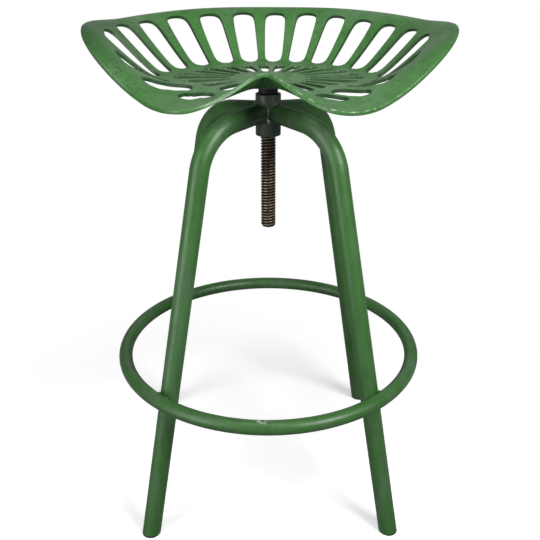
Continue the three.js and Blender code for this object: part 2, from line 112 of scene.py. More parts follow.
class STOOL_PG_seat(bpy.types.PropertyGroup):
    """Sizes of the cast seat pan and what holds it."""

    floor_height: length("Floor height", "Height of the pan's flat floor", 0.5945)
    pan_thickness: length("Pan thickness", "Thickness of the cast pan", 0.0045)
    rim_thickness: length("Rim thickness", "Thickness of the pan's outer rim", 0.006)
    half_width: length("Half width", "Reach of the rim at the sides", 0.2355)
    side_rise: length("Side rise", "Height of the rim at the sides above the floor", 0.0593)
    back_reach: length("Back reach", "Reach of the rim at the back", 0.217)
    back_rise: length("Back rise", "Height of the rim at the back above the floor", 0.068)
    lobe_turn: angle("Lobe turn", "Turn of the thigh lobes from the back", 152)
    lobe_reach: length("Lobe reach", "Reach of the rim at the thigh lobes", 0.171)
    lobe_rise: length("Lobe rise", "Height of the rim at the thigh lobes, below the floor", -0.0103)
    pommel_reach: length("Pommel reach", "Reach of the rim at the pommel", 0.0825)
    pommel_rise: length("Pommel rise", "Height of the pommel above the floor", 0.0202)
    floor_back: share("Floor at the back", "Part of the reach that is flat floor at the back", 0.49)
    floor_side: share("Floor at the sides", "Part of the reach that is flat floor at the sides", 0.56)
    floor_front: length("Floor front", "How far forwards the floor is flat", 0.046)
    inner_start: length("Inner slot start", "Distance of the inner slots from the middle", 0.05)
    inner_end_back: share("Inner slot end at the back", "Outer end of the inner slots in the reach", 0.45)
    inner_end_side: share("Inner slot end at the sides", "Outer end of the inner slots in the reach", 0.515)
    inner_width: share("Inner slot width", "Width of an inner slot in its spacing", 0.6)
    outer_start_back: share("Outer slot start at the back", "Inner end of the outer slots in the reach", 0.55)
    outer_start_side: share("Outer slot start at the sides", "Inner end of the outer slots there", 0.59)
    outer_start_turn: share("Outer slot start turn", "Turn of a slot's inner end to its outer end's", 1.05)
    outer_start_width: share("Outer slot inner width", "Width of its inner end in the spacing", 0.72)
    outer_end_width: share("Outer slot outer width", "Width of its outer end in the spacing", 0.64)
    screw_spacing: length("Screw half spacing", "Half the distance between two seat screws", 0.02)
    screw_head: length("Screw head radius", "Radius of the countersunk heads", 0.006)
    screw_shank: length("Screw shank radius", "Radius of the shanks", 0.003)
    plate_corner: length("Plate corner radius", "Radius of the mount plate's corners", 0.006)


class STOOL_PG_frame(bpy.types.PropertyGroup):
    """Sizes of the legs, hub, ring and spindle."""

    leg_turn: angle("Leg turn", "Turn of the first leg from the seat's right", 48)
    back_left_turn: angle("Back left leg turn", "How much further round the back left leg stands", 3.5)
    leg_radius: length("Leg radius", "Outer radius of the leg tube", 0.0125)
    leg_wall: length("Leg wall", "Wall of the leg tube", 0.002)
    leg_lean: angle("Leg lean", "Lean of a leg from upright", 12.84)
    stub_drop: angle("Stub drop", "Fall of a leg's upper end from the hub", 6)
    leg_below_hub: length("Leg below hub top", "Depth of the legs' ends below the hub's top", 0.024)
    bend_radius: length("Bend radius", "Radius of a leg's bend", 0.066)
    foot_reach: length("Foot reach", "Distance of a foot from the axis", 0.2335)
    foot_gap: length("Foot gap", "Clearance of a leg from its plug and the ring", SEATING_GAP)
    plug_head: length("Plug head", "Height of a foot plug's head", 0.0024)
    plug_edge: length("Plug edge", "Rounding of a foot plug's edges", 0.0009)
    plug_stem: length("Plug stem", "Length of a foot plug's stem", 0.018)
    ring_height: length("Ring height", "Height of the foot ring", 0.207)
    ring_bar: length("Ring bar radius", "Radius of the ring's bar", 0.0095)
    thread_pitch: length("Thread pitch", "Pitch of the spindle's thread", 0.004)
    thread_crest: length("Thread crest", "Crest radius of the spindle's thread", 0.01)
    thread_core: length("Thread core", "Core radius of the spindle's thread", 0.008)
    weld_bead: length("Weld bead", "Radius of the weld beads", 0.0016)


class STOOL_PG_finish(bpy.types.PropertyGroup):
    """Colours of the finishes."""

    seat_green: colour("Seat green", "Enamel of the seat", srgb(66, 120, 57))
    seat_light: colour("Seat light green", "Rubbed enamel of the seat", srgb(92, 128, 88))
    frame_green: colour("Frame green", "Enamel of the legs and the ring", srgb(61, 110, 51))
    frame_light: colour("Frame light green", "Rubbed enamel of the frame", srgb(84, 116, 84))
    # The dark glaze also paints shade: on the slots' walls, in the pan's outer corners, on the legs by the
    # hub and under the ring
    glaze: colour("Dark glaze", "Glaze in the corners and round the slots", srgb(28, 44, 30))
    worn: colour("Worn edge", "Metal and primer on rubbed edges", srgb(206, 214, 196))
    hub_dark: colour("Hub green", "Glazed enamel of the hub", srgb(68, 81, 70))
    hub_light: colour("Hub light green", "Rubbed enamel of the hub", srgb(52, 84, 52))
    spindle_brown: colour("Spindle brown", "Browned steel of the spindle", srgb(184, 160, 134))
    # The dark spindle colour fills the thread's root and the patina patches, and is the painted shade on the
    # spindle's upper part under the seat
    spindle_dark: colour("Spindle dark", "Oily dirt in the thread", srgb(28, 24, 20))
    zinc: colour("Zinc", "Plating of the seat screws", srgb(160, 162, 160))
    # Black rubber of the buffer ring, which also stands in for the deep shade between the hub and the mount
    # plate
    rubber: colour("Rubber", "Rubber of the buffer ring", srgb(24, 24, 26))
    plug: colour("Plug", "Plastic of the foot plugs", srgb(26, 28, 29))


class STOOL_PG_studio(bpy.types.PropertyGroup):
    """Camera and lights."""

    focal_length: FloatProperty(name="Focal length", description="Lens of the camera in mm", default=48.88)
    distance: length("Distance", "Level distance of the camera from the axis", 0.9517)
    height: length("Height", "Height of the camera", 0.7539)
    pitch: angle("Pitch", "Downward pitch of the camera", 24.22)
    yaw: angle("Yaw", "Sideways yaw of the camera", 0.14)
    around: angle("Around", "Turn of the camera round the stool", 2.4)
    key_power: power("Key power", "Power of the left softbox", 17)
    fill_power: power("Fill power", "Power of the right softbox", 23)
    top_power: power("Top power", "Power of the top softbox", 6)
    back_power: power("Back power", "Power of the softbox behind", 2.2)
    ambient: share("Ambient", "Strength of the light all round", 0.09)
    reflected: share("Reflected background", "Strength of the white background in reflections", 0.15)
    floor: colour("Floor", "Colour of the floor", srgb(245, 245, 245))
    floor_bounce: colour("Floor bounce", "Colour of the floor as it lights the stool", srgb(78, 82, 78))
    floor_lift: share("Floor lift", "Own brightness of the floor under the stool", 0.42)


# Tables of the pan's rim: turn, reach and rise shares of the way from one named station to the next
BACK_TO_SIDE_SHARES = [(0.32, 0.32, 0.04), (0.72, 0.65, 0.65)]
SIDE_TO_LOBE_SHARES = [(0.5, 0.81, 0.88)]
LOBE_TO_POMMEL_SHARES = [(0.4, 0.6, 0.56), (0.7, 0.76, 0.93)]

# The pan's wall from the floor to the rim: shares of its width, and of its rise there
WALL_WIDTH_SHARES = [0, 0.2, 0.75, 1]
WALL_RISE_SHARES = [0, 0.1, 0.84, 1]

# Turns of the outer slots from the back, and their outer ends in the reach
OUTER_SLOT_TURNS = [radians(turn) for turn in (
    -136, -116, -98, -83.2, -71, -58.5, -43.3, -28.3, -13.2, 0.8,
    15.1, 28.4, 41.6, 55.1, 69, 81.5, 94, 111, 125, 137.3,
)]
OUTER_SLOT_ENDS = [
    0.77, 0.83, 0.825, 0.9, 0.924, 0.918, 0.92, 0.908, 0.911, 0.903,
    0.906, 0.895, 0.887, 0.886, 0.889, 0.87, 0.805, 0.8, 0.815, 0.765,
]
LAST_SLOT = len(OUTER_SLOT_TURNS) - 1


def lerp(start, end, part):
    return start + (end - start) * part


def smooth_table(places, values, place):
    """Value on a smooth curve through a table that is level at both ends."""
    last = len(places) - 1

    def slope(k):
        return 0 if k in (0, last) else (values[k + 1] - values[k - 1]) / (places[k + 1] - places[k - 1])
    k = 0
    while k < last - 1 and place > places[k + 1]:
        k += 1
    span = places[k + 1] - places[k]
    part = (place - places[k]) / span
    square, cube = part ** 2, part ** 3
    return (values[k] * (2 * cube - 3 * square + 1) + values[k + 1] * (3 * square - 2 * cube)
            + slope(k) * span * (cube - 2 * square + part) + slope(k + 1) * span * (cube - square))


def slot_turn(place):
    """Turn at a place in the outer row, counted in slots and continued past both ends."""
    k = min(max(int(place // 1), 0), LAST_SLOT - 1)
    return lerp(OUTER_SLOT_TURNS[k], OUTER_SLOT_TURNS[k + 1], place - k)


def from_back(turn):
    """Turn from the back of the seat, the same on both sides."""
    wrapped = abs(turn) % tau
    return min(wrapped, tau - wrapped)


def share_at(turn, back, side):
    """Share that changes smoothly from the back to the sides, and stays from there to the front."""
    return lerp(back, side, sin(turn) ** 2 if cos(turn) > 0 else 1)


class PanForm:
    """Upper face of the seat pan, from the stations of its rim."""

    slope_step = 0.002

    def __init__(self, sizes):
        self.sizes = sizes
        back = (0, sizes.back_reach, sizes.back_rise)
        side = (pi / 2, sizes.half_width, sizes.side_rise)
        lobe = (sizes.lobe_turn, sizes.lobe_reach, sizes.lobe_rise)
        pommel = (pi, sizes.pommel_reach, sizes.pommel_rise)

        def between(start, end, shares):
            return [tuple(map(lerp, start, end, row)) for row in shares]
        stations = [
            back, *between(back, side, BACK_TO_SIDE_SHARES), side,
            *between(side, lobe, SIDE_TO_LOBE_SHARES), lobe,
            *between(lobe, pommel, LOBE_TO_POMMEL_SHARES), pommel,
        ]
        self.turns, self.reaches, self.rises = zip(*stations)

    def reach(self, turn):
        return smooth_table(self.turns, self.reaches, from_back(turn))

    def floor_share(self, turn):
        forwards = max(SAME_POINT, -cos(turn))
        share_here = share_at(turn, self.sizes.floor_back, self.sizes.floor_side)
        return min(share_here, self.sizes.floor_front / (forwards * self.reach(turn)))

    def inner_end(self, turn):
        return share_at(turn, self.sizes.inner_end_back, self.sizes.inner_end_side)

    def outer_start(self, turn):
        return share_at(turn, self.sizes.outer_start_back, self.sizes.outer_start_side)

    def point(self, turn, part):
        radius = part * self.reach(turn)
        wall = (part - self.floor_share(turn)) / (1 - self.floor_share(turn))
        rim_rise = smooth_table(self.turns, self.rises, from_back(turn))
        rise = rim_rise * smooth_table(WALL_WIDTH_SHARES, WALL_RISE_SHARES, wall) if wall > 0 else 0
        return Vector((radius * sin(turn), radius * cos(turn), self.sizes.floor_height + rise))

    def below(self, turn, part, depth):
        """Point under the upper face, along its normal."""
        point = self.point(turn, part)
        if part <= self.floor_share(turn):
            return point - Z_AXIS * depth
        step = self.slope_step
        outward = self.point(turn, part + step) - self.point(turn, part - step)
        around = self.point(turn + step, part) - self.point(turn - step, part)
        normal = outward.cross(around).normalized()
        return point + normal * depth * (1 if normal.z < 0 else -1)


def slot_end_share(place):
    """Outer end of the outer slots at any place in the row, read between the slots' own ends."""
    k = min(max(int(place // 1), 0), LAST_SLOT - 1)
    return lerp(OUTER_SLOT_ENDS[k], OUTER_SLOT_ENDS[k + 1], max(0.0, min(1.0, place - k)))


def slot_back(width, squareness):
    """How far a slot's end lies back at a share of its half width."""
    return 1 - max(0.0, 1 - abs(width) ** squareness) ** (1 / squareness)


# Rows of the pan's cage: those that bound the inner and the outer slots, and the band between them
INNER_ROWS = (3, 4, 5, 6, 7)
BAND_ROW = 8
OUTER_ROWS = (9, 10, 11, 12, 13, 14)
PAN_ROWS = 18
FRONT_COLUMNS = 8

# Where the cage's other rows lie, as shares of the way between those rows
FLOOR_ROW_SHARES = (0.34, 0.72)
OUTER_ROW_SHARES = (0.36, 0.64)
RIM_ROW_SHARES = (0.36, 0.7)
END_ROW_SPARE = 0.035
RIM_ROW_INSET = 0.0035
MOST_INNER_START = 0.34

# Rounding of the slots' ends: how square their inner and outer ends are, how far the next row stays
# clear of them, and how far in the cage's corners lie
SQUARE_START = 2
SQUARE_INNER_END = 2.2
SQUARE_OUTER_END = 2.4
INNER_END_REACH = 1.2
OUTER_END_REACH = 1.15
OUTER_END_DEPTH = 0.95
CORNER_WIDTH = 0.9

# Shares across a slot from which a column lies on its side, and up to which it lies in it
ON_SIDE = 0.999
IN_SLOT = 1.001


def spacing_at(place):
    """Half the turn between the slots on either side of a place in the row."""
    return (slot_turn(place + 0.5) - slot_turn(place - 0.5)) / 2


class Column:
    """One column of the pan's cage, at a place in the outer row of slots or at a turn in the front gap."""

    def __init__(self, form, place, side=0, turn=None):
        self.form, self.place, self.side, self.fixed_turn = form, place, side, turn

    def width(self, along):
        """Half width of an outer slot in places."""
        sizes = self.form.sizes
        return lerp(sizes.outer_start_width, sizes.outer_end_width, along) / 2

    def turn(self, along, drift):
        """Turn at a share of the way along the outer slots, drifting from the slots' own turn."""
        if self.fixed_turn is None:
            turn = slot_turn(self.place + self.side * self.width(along))
        else:
            turn = self.fixed_turn
        wrapped = turn - tau if turn > pi else turn
        fade = min(1.0, (pi - abs(wrapped)) / (pi - OUTER_SLOT_TURNS[-1]))
        return turn + wrapped * (self.form.sizes.outer_start_turn - 1) * fade * drift

    def across(self, outer):
        """Where the column lies in a slot of either row, from minus one to one, or nothing."""
        if self.fixed_turn is not None:
            return None
        at = self.place + self.side * self.width(0)
        if outer:
            middle, half = round(at), self.width(0)
            inside = 0 <= middle <= LAST_SLOT
        else:
            middle, half = round(at - 0.5) + 0.5, self.form.sizes.inner_width / 2
            inside = -0.5 <= middle <= LAST_SLOT + 0.5
        share_across = (at - middle) / half
        return share_across if inside and abs(share_across) < IN_SLOT else None

    def round_inner(self, shares, turns):
        """Moves the rows at the ends of an inner slot onto its rounded ends."""
        across = self.across(False)
        if across is None:
            return
        first, last = INNER_ROWS[0], INNER_ROWS[-1]
        half = self.form.sizes.inner_width * spacing_at(self.place)
        start_round, end_round = shares[first] * half, shares[last] * half
        start, end = shares[first], shares[last]
        on_side = abs(across) > ON_SIDE
        width = CORNER_WIDTH if on_side else across
        shares[first] = start + start_round * slot_back(width, SQUARE_START)
        shares[last] = end - end_round * slot_back(width, SQUARE_INNER_END)
        if on_side:
            shares[first + 1] = start + start_round * INNER_END_REACH
            shares[last - 1] = end - end_round * INNER_END_REACH
            for row in (first, last):
                turns[row] -= (1 - CORNER_WIDTH) * half * across

    def round_outer(self, shares, turns):
        """Moves the rows at the ends of an outer slot onto its rounded ends."""
        across = self.across(True)
        if across is None:
            return
        form, sizes = self.form, self.form.sizes
        first, last = OUTER_ROWS[0], OUTER_ROWS[-1]
        spacing = spacing_at(round(self.place))
        base = self.turn(0, 0)
        start, end = shares[first], shares[last]
        start_round = start * sizes.outer_start_width * spacing
        end_round = end * sizes.outer_end_width * spacing
        lift = form.point(base, end).z - form.point(base, end - end_round).z
        end_round *= OUTER_END_DEPTH / hypot(1, lift / (end_round * form.reach(base)))
        on_side = abs(across) > ON_SIDE
        width = CORNER_WIDTH if on_side else across
        shares[first] = start + start_round * slot_back(width, SQUARE_START)
        shares[last] = end - end_round * slot_back(width, SQUARE_OUTER_END)
        if on_side:
            shares[first + 1] = start + start_round * OUTER_END_REACH
            shares[last - 1] = end - end_round * OUTER_END_REACH
            for row, wide in ((first, sizes.outer_start_width), (last, sizes.outer_end_width)):
                turns[row] -= (1 - CORNER_WIDTH) * wide * spacing * across

    def points(self):
        """The column's (turn, share) pairs from the middle of the floor to the rim."""
        form = self.form
        base = self.turn(0, 0)
        reach = form.reach(base)
        start_in = min(form.sizes.inner_start / reach, MOST_INNER_START)
        end_in, start_out = form.inner_end(base), form.outer_start(base)
        if self.fixed_turn is None:
            end_out = slot_end_share(self.place)
        else:
            end_out = OUTER_SLOT_ENDS[0 if base > pi else -1]
        shares = [
            0, *(start_in * part for part in FLOOR_ROW_SHARES),
            start_in, start_in + END_ROW_SPARE, lerp(start_in, end_in, 0.5), end_in - END_ROW_SPARE, end_in,
            lerp(end_in, start_out, 0.5),
            start_out, start_out + END_ROW_SPARE,
            *(lerp(start_out, end_out, part) for part in OUTER_ROW_SHARES),
            end_out - END_ROW_SPARE, end_out,
            *(lerp(end_out, 1, part) for part in RIM_ROW_SHARES), 1 - RIM_ROW_INSET / reach, 1,
        ]
        turns = [base] * len(shares)
        self.round_inner(shares, turns)
        for row in OUTER_ROWS:
            along = (shares[row] - start_out) / (end_out - start_out)
            turns[row] = self.turn(along, 1 - along)
        turns[BAND_ROW] = self.turn(0, 0.5)
        for row in range(OUTER_ROWS[-1] + 1, PAN_ROWS + 1):
            turns[row] = self.turn(1, 0)
        self.round_outer(shares, turns)
        return list(zip(turns, shares))


def pan_columns(form):
    """Columns of the pan's cage, in order round it."""
    columns = [Column(form, k, side) for k in range(LAST_SLOT + 1) for side in (-1, 0, 1)]
    half = form.sizes.inner_width / 2
    columns += [Column(form, k - 0.5 + side * half) for k in range(LAST_SLOT + 2) for side in (-1, 0, 1)]
    columns.sort(key=lambda column: column.turn(0, 0))
    first, last = columns[0].turn(0, 0), columns[-1].turn(0, 0)
    gap = tau - last + first
    for k in range(FRONT_COLUMNS):
        columns.append(Column(form, None, turn=last + gap * (k + 1) / (FRONT_COLUMNS + 1)))
    return columns


# Wear of the rim: all round, more at the front, and more on the right
RIM_WEAR = 0.55
FRONT_RIM_WEAR = 0.35
RIGHT_RIM_WEAR = 0.15

# Painted shade in the pan's two outer corners: round a turn, over a width and from a share of the reach
CORNER_SHADE_TURN = radians(84)
CORNER_SHADE_WIDTH = radians(26)
CORNER_SHADE_START = 0.72
CORNER_SHADE_LEFT = 0.9
CORNER_SHADE_RIGHT = 0.45


def rim_wear(turn):
    """How rubbed the rim is."""
    return RIM_WEAR + FRONT_RIM_WEAR * max(0.0, -cos(turn)) + RIGHT_RIM_WEAR * sin(turn)


def corner_soot(turn, part):
    """How much painted shade the pan has in its two outer corners, the left one more."""
    wrapped = turn - tau if turn > pi else turn
    corner = max(0.0, 1 - (abs(wrapped) - CORNER_SHADE_TURN) ** 2 / CORNER_SHADE_WIDTH ** 2)
    outwards = max(0.0, (part - CORNER_SHADE_START) / (1 - CORNER_SHADE_START))
    return corner * outwards * (CORNER_SHADE_LEFT if wrapped < 0 else CORNER_SHADE_RIGHT)


def in_hole(first, second, row):
    """Whether the cage's face between two columns is cut out at a row."""
    for outer, rows in ((False, INNER_ROWS), (True, OUTER_ROWS)):
        if rows[0] <= row < rows[-1]:
            sides = first.across(outer), second.across(outer)
            return None not in sides and sides[0] < sides[1]
    return False


def object_from(maker, name, body, material, nodes):
    """A finished, smooth piece from a bmesh, riding on its body."""
    mesh = bpy.data.meshes.new(name)
    maker.to_mesh(mesh)
    maker.free()
    mesh.materials.append(material)
    mesh.polygons.foreach_set("use_smooth", [True] * len(mesh.polygons))
    piece = bpy.data.objects.new(name, mesh)
    bpy.context.scene.collection.objects.link(piece)
    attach(piece, body)
    if nodes:
        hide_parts(*nodes)
    return piece


def bake_modifiers(piece):
    """Applies a piece's modifiers to its own mesh."""
    bpy.context.view_layer.update()
    graph = bpy.context.evaluated_depsgraph_get()
    made = piece.evaluated_get(graph)
    mesh = bpy.data.meshes.new_from_object(made, preserve_all_data_layers=True, depsgraph=graph)
    old = piece.data
    piece.modifiers.clear()
    piece.data = mesh
    mesh.name = piece.name
    bpy.data.meshes.remove(old)


def cut(piece, cutter_maker, operation="DIFFERENCE"):
    """Cuts a piece with a closed bmesh, or keeps what both share."""
    mesh = bpy.data.meshes.new("cutter")
    cutter_maker.to_mesh(mesh)
    cutter_maker.free()
    cutter = bpy.data.objects.new("cutter", mesh)
    bpy.context.scene.collection.objects.link(cutter)
    boolean = piece.modifiers.new("Cut", "BOOLEAN")
    boolean.object = cutter
    boolean.operation = operation
    boolean.solver = "EXACT"
    bake_modifiers(piece)
    bpy.data.objects.remove(cutter)
    bpy.data.meshes.remove(mesh)


def cut_off(maker, point, normal):
    """Takes off what lies beyond a plane."""
    everything = maker.verts[:] + maker.edges[:] + maker.faces[:]
    bmesh.ops.bisect_plane(
        maker, geom=everything, dist=ON_PLANE, plane_co=point, plane_no=normal, clear_outer=True
    )


def joined(makers):
    """One bmesh from several."""
    whole = bmesh.new()
    for maker in makers:
        mesh = bpy.data.meshes.new("part")
        maker.to_mesh(mesh)
        maker.free()
        whole.from_mesh(mesh)
        bpy.data.meshes.remove(mesh)
    return whole


def shade_by_angle(piece, degrees):
    """Smooth shading with sharp edges above an angle."""
    maker = bmesh.new()
    maker.from_mesh(piece.data)
    for edge in maker.edges:
        edge.smooth = edge.calc_face_angle(0) <= radians(degrees)
    for face in maker.faces:
        face.smooth = True
    maker.to_mesh(piece.data)
    maker.free()


def turned(outline, steps):
    """Closed shape turned round the Z axis from (radius, height) pairs."""
    maker = bmesh.new()
    verts = [maker.verts.new((radius, 0, height)) for radius, height in outline]
    edges = [maker.edges.new(pair) for pair in zip(verts, verts[1:])]
    bmesh.ops.spin(
        maker, geom=verts + edges, cent=ORIGIN, axis=Z_AXIS, angle=tau, steps=steps, use_merge=True
    )
    bmesh.ops.remove_doubles(maker, verts=maker.verts, dist=SAME_POINT)
    bmesh.ops.recalc_face_normals(maker, faces=maker.faces)
    return maker


# Most of a side that the rounding of one of its corners may take
MOST_ROUNDING = 0.48


def rounded(outline, radius, steps=3):
    """Outline of (radius, height) pairs with all corners but its ends rounded."""
    out = [outline[0]]
    for before, corner, after in zip(outline, outline[1:], outline[2:]):
        into, onward = Vector(corner) - Vector(before), Vector(after) - Vector(corner)
        bend = into.angle(onward)
        reach = min(radius * tan(bend / 2), into.length * MOST_ROUNDING, onward.length * MOST_ROUNDING)
        start = Vector(corner) - into.normalized() * reach
        end = Vector(corner) + onward.normalized() * reach
        for k in range(steps + 1):
            part = k / steps
            point = start * (1 - part) ** 2 + Vector(corner) * 2 * part * (1 - part) + end * part ** 2
            out.append(tuple(point))
    return out + [outline[-1]]


# Materials

WHITE = (1, 1, 1, 1)

# Noise scales of the enamel, in waves per metre
MOTTLE_SCALE = 110.0
SPECK_SCALE = 420.0
SPECK_PATCH_SCALE = 22.0
RAGGED_SCALE = 90.0
CHIP_SCALE = 120.0
GLOSS_SCALE = 45.0
PEEL_SCALE = 900.0
CAST_SCALE = 130.0

# Depths of the enamel's peel, of the casting's unevenness and of the bare finishes' grain
PEEL_DEPTH = 0.0004
CAST_DEPTH = 0.0012
GRAIN_DEPTH = 0.0003

# Noise scales of the spindle's steel, and radii between which its thread changes from dark in the root to
# brown on the crest
PATINA_SCALE = 90.0
STEEL_GLOSS_SCALE = 160.0
STEEL_LINE_SCALE = 500.0
DARK_ROOT_RADIUS = 0.0082
BROWN_CREST_RADIUS = 0.0099

# Heights between which painted shade darkens the spindle upwards, under the seat, and how much its edge
# wanders
SPINDLE_SHADE_LOW = 0.46
SPINDLE_SHADE_HIGH = 0.5
SPINDLE_SHADE_WANDER = 0.02


def add_node(tree, kind, inputs=(), **settings):
    node = tree.nodes.new(kind)
    for key, value in settings.items():
        setattr(node, key, value)
    for socket, value in dict(inputs).items():
        put(tree, node.inputs[socket], value)
    return node


def put(tree, socket, value):
    """Links a socket to another, or sets its value."""
    if isinstance(value, bpy.types.NodeSocket):
        tree.links.new(value, socket)
    else:
        socket.default_value = value


def new_material(name):
    """A node material with its tree, its shader's inputs and the object's own coordinates."""
    material = bpy.data.materials.new(name)
    material.use_nodes = True
    tree = material.node_tree
    place = add_node(tree, "ShaderNodeTexCoord").outputs["Object"]
    return material, tree, tree.nodes["Principled BSDF"].inputs, place


def stretched(tree, place, scale):
    return add_node(tree, "ShaderNodeMapping", {"Vector": place, "Scale": scale}).outputs["Vector"]


def cloud(tree, place, scale, detail, roughness):
    """Noise value from zero to one."""
    return add_node(tree, "ShaderNodeTexNoise", {
        "Vector": place, "Scale": scale, "Detail": detail, "Roughness": roughness,
    }).outputs["Fac"]


def between(tree, value, low, high, to_low=0.0, to_high=1.0):
    return add_node(tree, "ShaderNodeMapRange", {
        "Value": value, "From Min": low, "From Max": high, "To Min": to_low, "To Max": to_high,
    }, interpolation_type="SMOOTHSTEP").outputs["Result"]


def patches(tree, place, scale, low, high, detail=4.0, roughness=0.6):
    """Noise patches, from none where the noise is low to full where it is high."""
    return between(tree, cloud(tree, place, scale, detail, roughness), low, high)


def mixed(tree, part, first, second):
    node = add_node(tree, "ShaderNodeMix", {0: part, 6: first, 7: second}, data_type="RGBA")
    return node.outputs[2]


def worked(tree, operation, *values):
    return add_node(tree, "ShaderNodeMath", dict(enumerate(values)), operation=operation).outputs[0]


def times(tree, first, second):
    return worked(tree, "MULTIPLY", first, second)


def bumped(tree, height, strength, distance, base=None):
    inputs = {"Height": height, "Strength": strength, "Distance": distance}
    if base is not None:
        inputs["Normal"] = base
    return add_node(tree, "ShaderNodeBump", inputs).outputs["Normal"]


def attribute(tree, name):
    return add_node(tree, "ShaderNodeAttribute", attribute_name=name).outputs["Fac"]


def enamel(name, green, light, finish, streak, blotch, speckle):
    """Satin enamel: rubbed light places, and glaze, painted shade, darkening and worn edges from the piece's
    attributes.
    """
    material, tree, inputs, place = new_material(name)
    along = stretched(tree, place, streak)

    rubbed = patches(tree, along, blotch, 0.45, 0.75, detail=5.0)
    mottle = patches(tree, along, MOTTLE_SCALE, 0.4, 0.75, detail=5.0, roughness=0.65)
    body = mixed(tree, rubbed, green, light)
    shade = mixed(tree, 0.6, green, finish.glaze)
    body = mixed(tree, times(tree, mottle, 0.45), body, shade)

    speck = patches(tree, place, SPECK_SCALE, 0.57, 0.66, detail=2.0, roughness=0.5)
    patch = patches(tree, along, SPECK_PATCH_SCALE, 0.46, 0.6, detail=3.0, roughness=0.5)
    body = mixed(tree, times(tree, times(tree, speck, patch), speckle), body, finish.glaze)

    ragged = times(tree, cloud(tree, place, RAGGED_SCALE, 4.0, 0.6), 0.3)
    line = between(tree, worked(tree, "ADD", attribute(tree, "glaze"), ragged), 0.9, 1.25)
    # The slots' walls get glaze and painted shade
    wall = times(tree, attribute(tree, "wall"), 0.28)
    # Painted shade and darkening, from the piece's own attribute
    shaded_and_darkened = times(tree, attribute(tree, "soot"), worked(tree, "ADD", ragged, 0.6))
    marks = worked(tree, "MAXIMUM", times(tree, line, 0.8), wall)
    body = mixed(tree, worked(tree, "MAXIMUM", marks, shaded_and_darkened), body, finish.glaze)

    chipped = patches(tree, place, CHIP_SCALE, 0.5, 0.58, roughness=0.65)
    rub = between(tree, worked(tree, "ADD", attribute(tree, "wear"), ragged), 0.85, 1.15)
    body = mixed(tree, times(tree, chipped, rub), body, finish.worn)

    gloss = between(tree, cloud(tree, place, GLOSS_SCALE, 4.0, 0.6), 0.3, 0.7, 0.34, 0.46)
    peel = bumped(tree, cloud(tree, place, PEEL_SCALE, 2.0, 0.5), 0.1, PEEL_DEPTH)
    cast = bumped(tree, cloud(tree, place, CAST_SCALE, 3.0, 0.5), 0.2, CAST_DEPTH, peel)
    put(tree, inputs["Base Color"], body)
    put(tree, inputs["Roughness"], gloss)
    put(tree, inputs["Normal"], cast)
    put(tree, inputs["Specular IOR Level"], 0.5)
    return material


def seat_enamel(finish):
    return enamel("seat_enamel", finish.seat_green, finish.seat_light, finish,
                  streak=(1.0, 1.0, 1.0), blotch=10.0, speckle=0.8)


def frame_enamel(finish):
    return enamel("frame_enamel", finish.frame_green, finish.frame_light, finish,
                  streak=(1.0, 1.0, 0.16), blotch=24.0, speckle=0.12)


def hub_enamel(finish):
    return enamel("hub_enamel", finish.hub_dark, finish.hub_light, finish,
                  streak=(1.0, 1.0, 1.0), blotch=60.0, speckle=0.4)


def browned_steel(finish):
    """Browned steel of the spindle, dark in the thread's root, brown on its crest, and darker higher up with
    painted shade under the seat.
    """
    material, tree, inputs, place = new_material("browned_steel")
    x, y, z = add_node(tree, "ShaderNodeSeparateXYZ", {"Vector": place}).outputs
    square = worked(tree, "ADD", worked(tree, "POWER", x, 2.0), worked(tree, "POWER", y, 2.0))
    # Dark in the thread's root, brown on its crest
    crest = between(tree, worked(tree, "SQRT", square), DARK_ROOT_RADIUS, BROWN_CREST_RADIUS)

    patina = patches(tree, place, PATINA_SCALE, 0.35, 0.65, detail=5.0)
    darker = mixed(tree, 0.5, finish.spindle_brown, finish.spindle_dark)
    brown = mixed(tree, patina, finish.spindle_brown, darker)
    # Painted shade on the spindle's upper part, under the seat
    wandering = worked(tree, "ADD", z, times(tree, patina, SPINDLE_SHADE_WANDER))
    shaded_above = between(tree, wandering, SPINDLE_SHADE_LOW, SPINDLE_SHADE_HIGH)
    brown = mixed(tree, times(tree, shaded_above, 0.6), brown, finish.spindle_dark)

    gloss = between(tree, cloud(tree, place, STEEL_GLOSS_SCALE, 4.0, 0.6), 0.3, 0.7, 0.28, 0.5)
    lines = cloud(tree, stretched(tree, place, (1.0, 1.0, 6.0)), STEEL_LINE_SCALE, 3.0, 0.6)
    put(tree, inputs["Base Color"], mixed(tree, crest, finish.spindle_dark, brown))
    put(tree, inputs["Metallic"], 0.75)
    put(tree, inputs["Roughness"], gloss)
    put(tree, inputs["Normal"], bumped(tree, lines, 0.25, GRAIN_DEPTH))
    return material


def plain_finish(name, shade, metallic, gloss, grain, bump):
    """A finish of one shade with a fine grain in its colour, gloss and surface."""
    material, tree, inputs, place = new_material(name)
    fine = cloud(tree, place, grain, 4.0, 0.6)
    darker = (*(part * 0.6 for part in shade[:3]), 1.0)
    put(tree, inputs["Base Color"], mixed(tree, between(tree, fine, 0.35, 0.7), shade, darker))
    put(tree, inputs["Metallic"], metallic)
    put(tree, inputs["Roughness"], between(tree, fine, 0.3, 0.7, *gloss))
    put(tree, inputs["Normal"], bumped(tree, fine, bump, GRAIN_DEPTH))
    return material


def zinc(finish):
    return plain_finish("zinc", finish.zinc, metallic=0.9, gloss=(0.3, 0.5), grain=300.0, bump=0.2)


def rubber(finish):
    return plain_finish("rubber", finish.rubber, metallic=0.0, gloss=(0.55, 0.75), grain=260.0, bump=0.3)


def plug(finish):
    return plain_finish("plug", finish.plug, metallic=0.0, gloss=(0.5, 0.7), grain=400.0, bump=0.3)


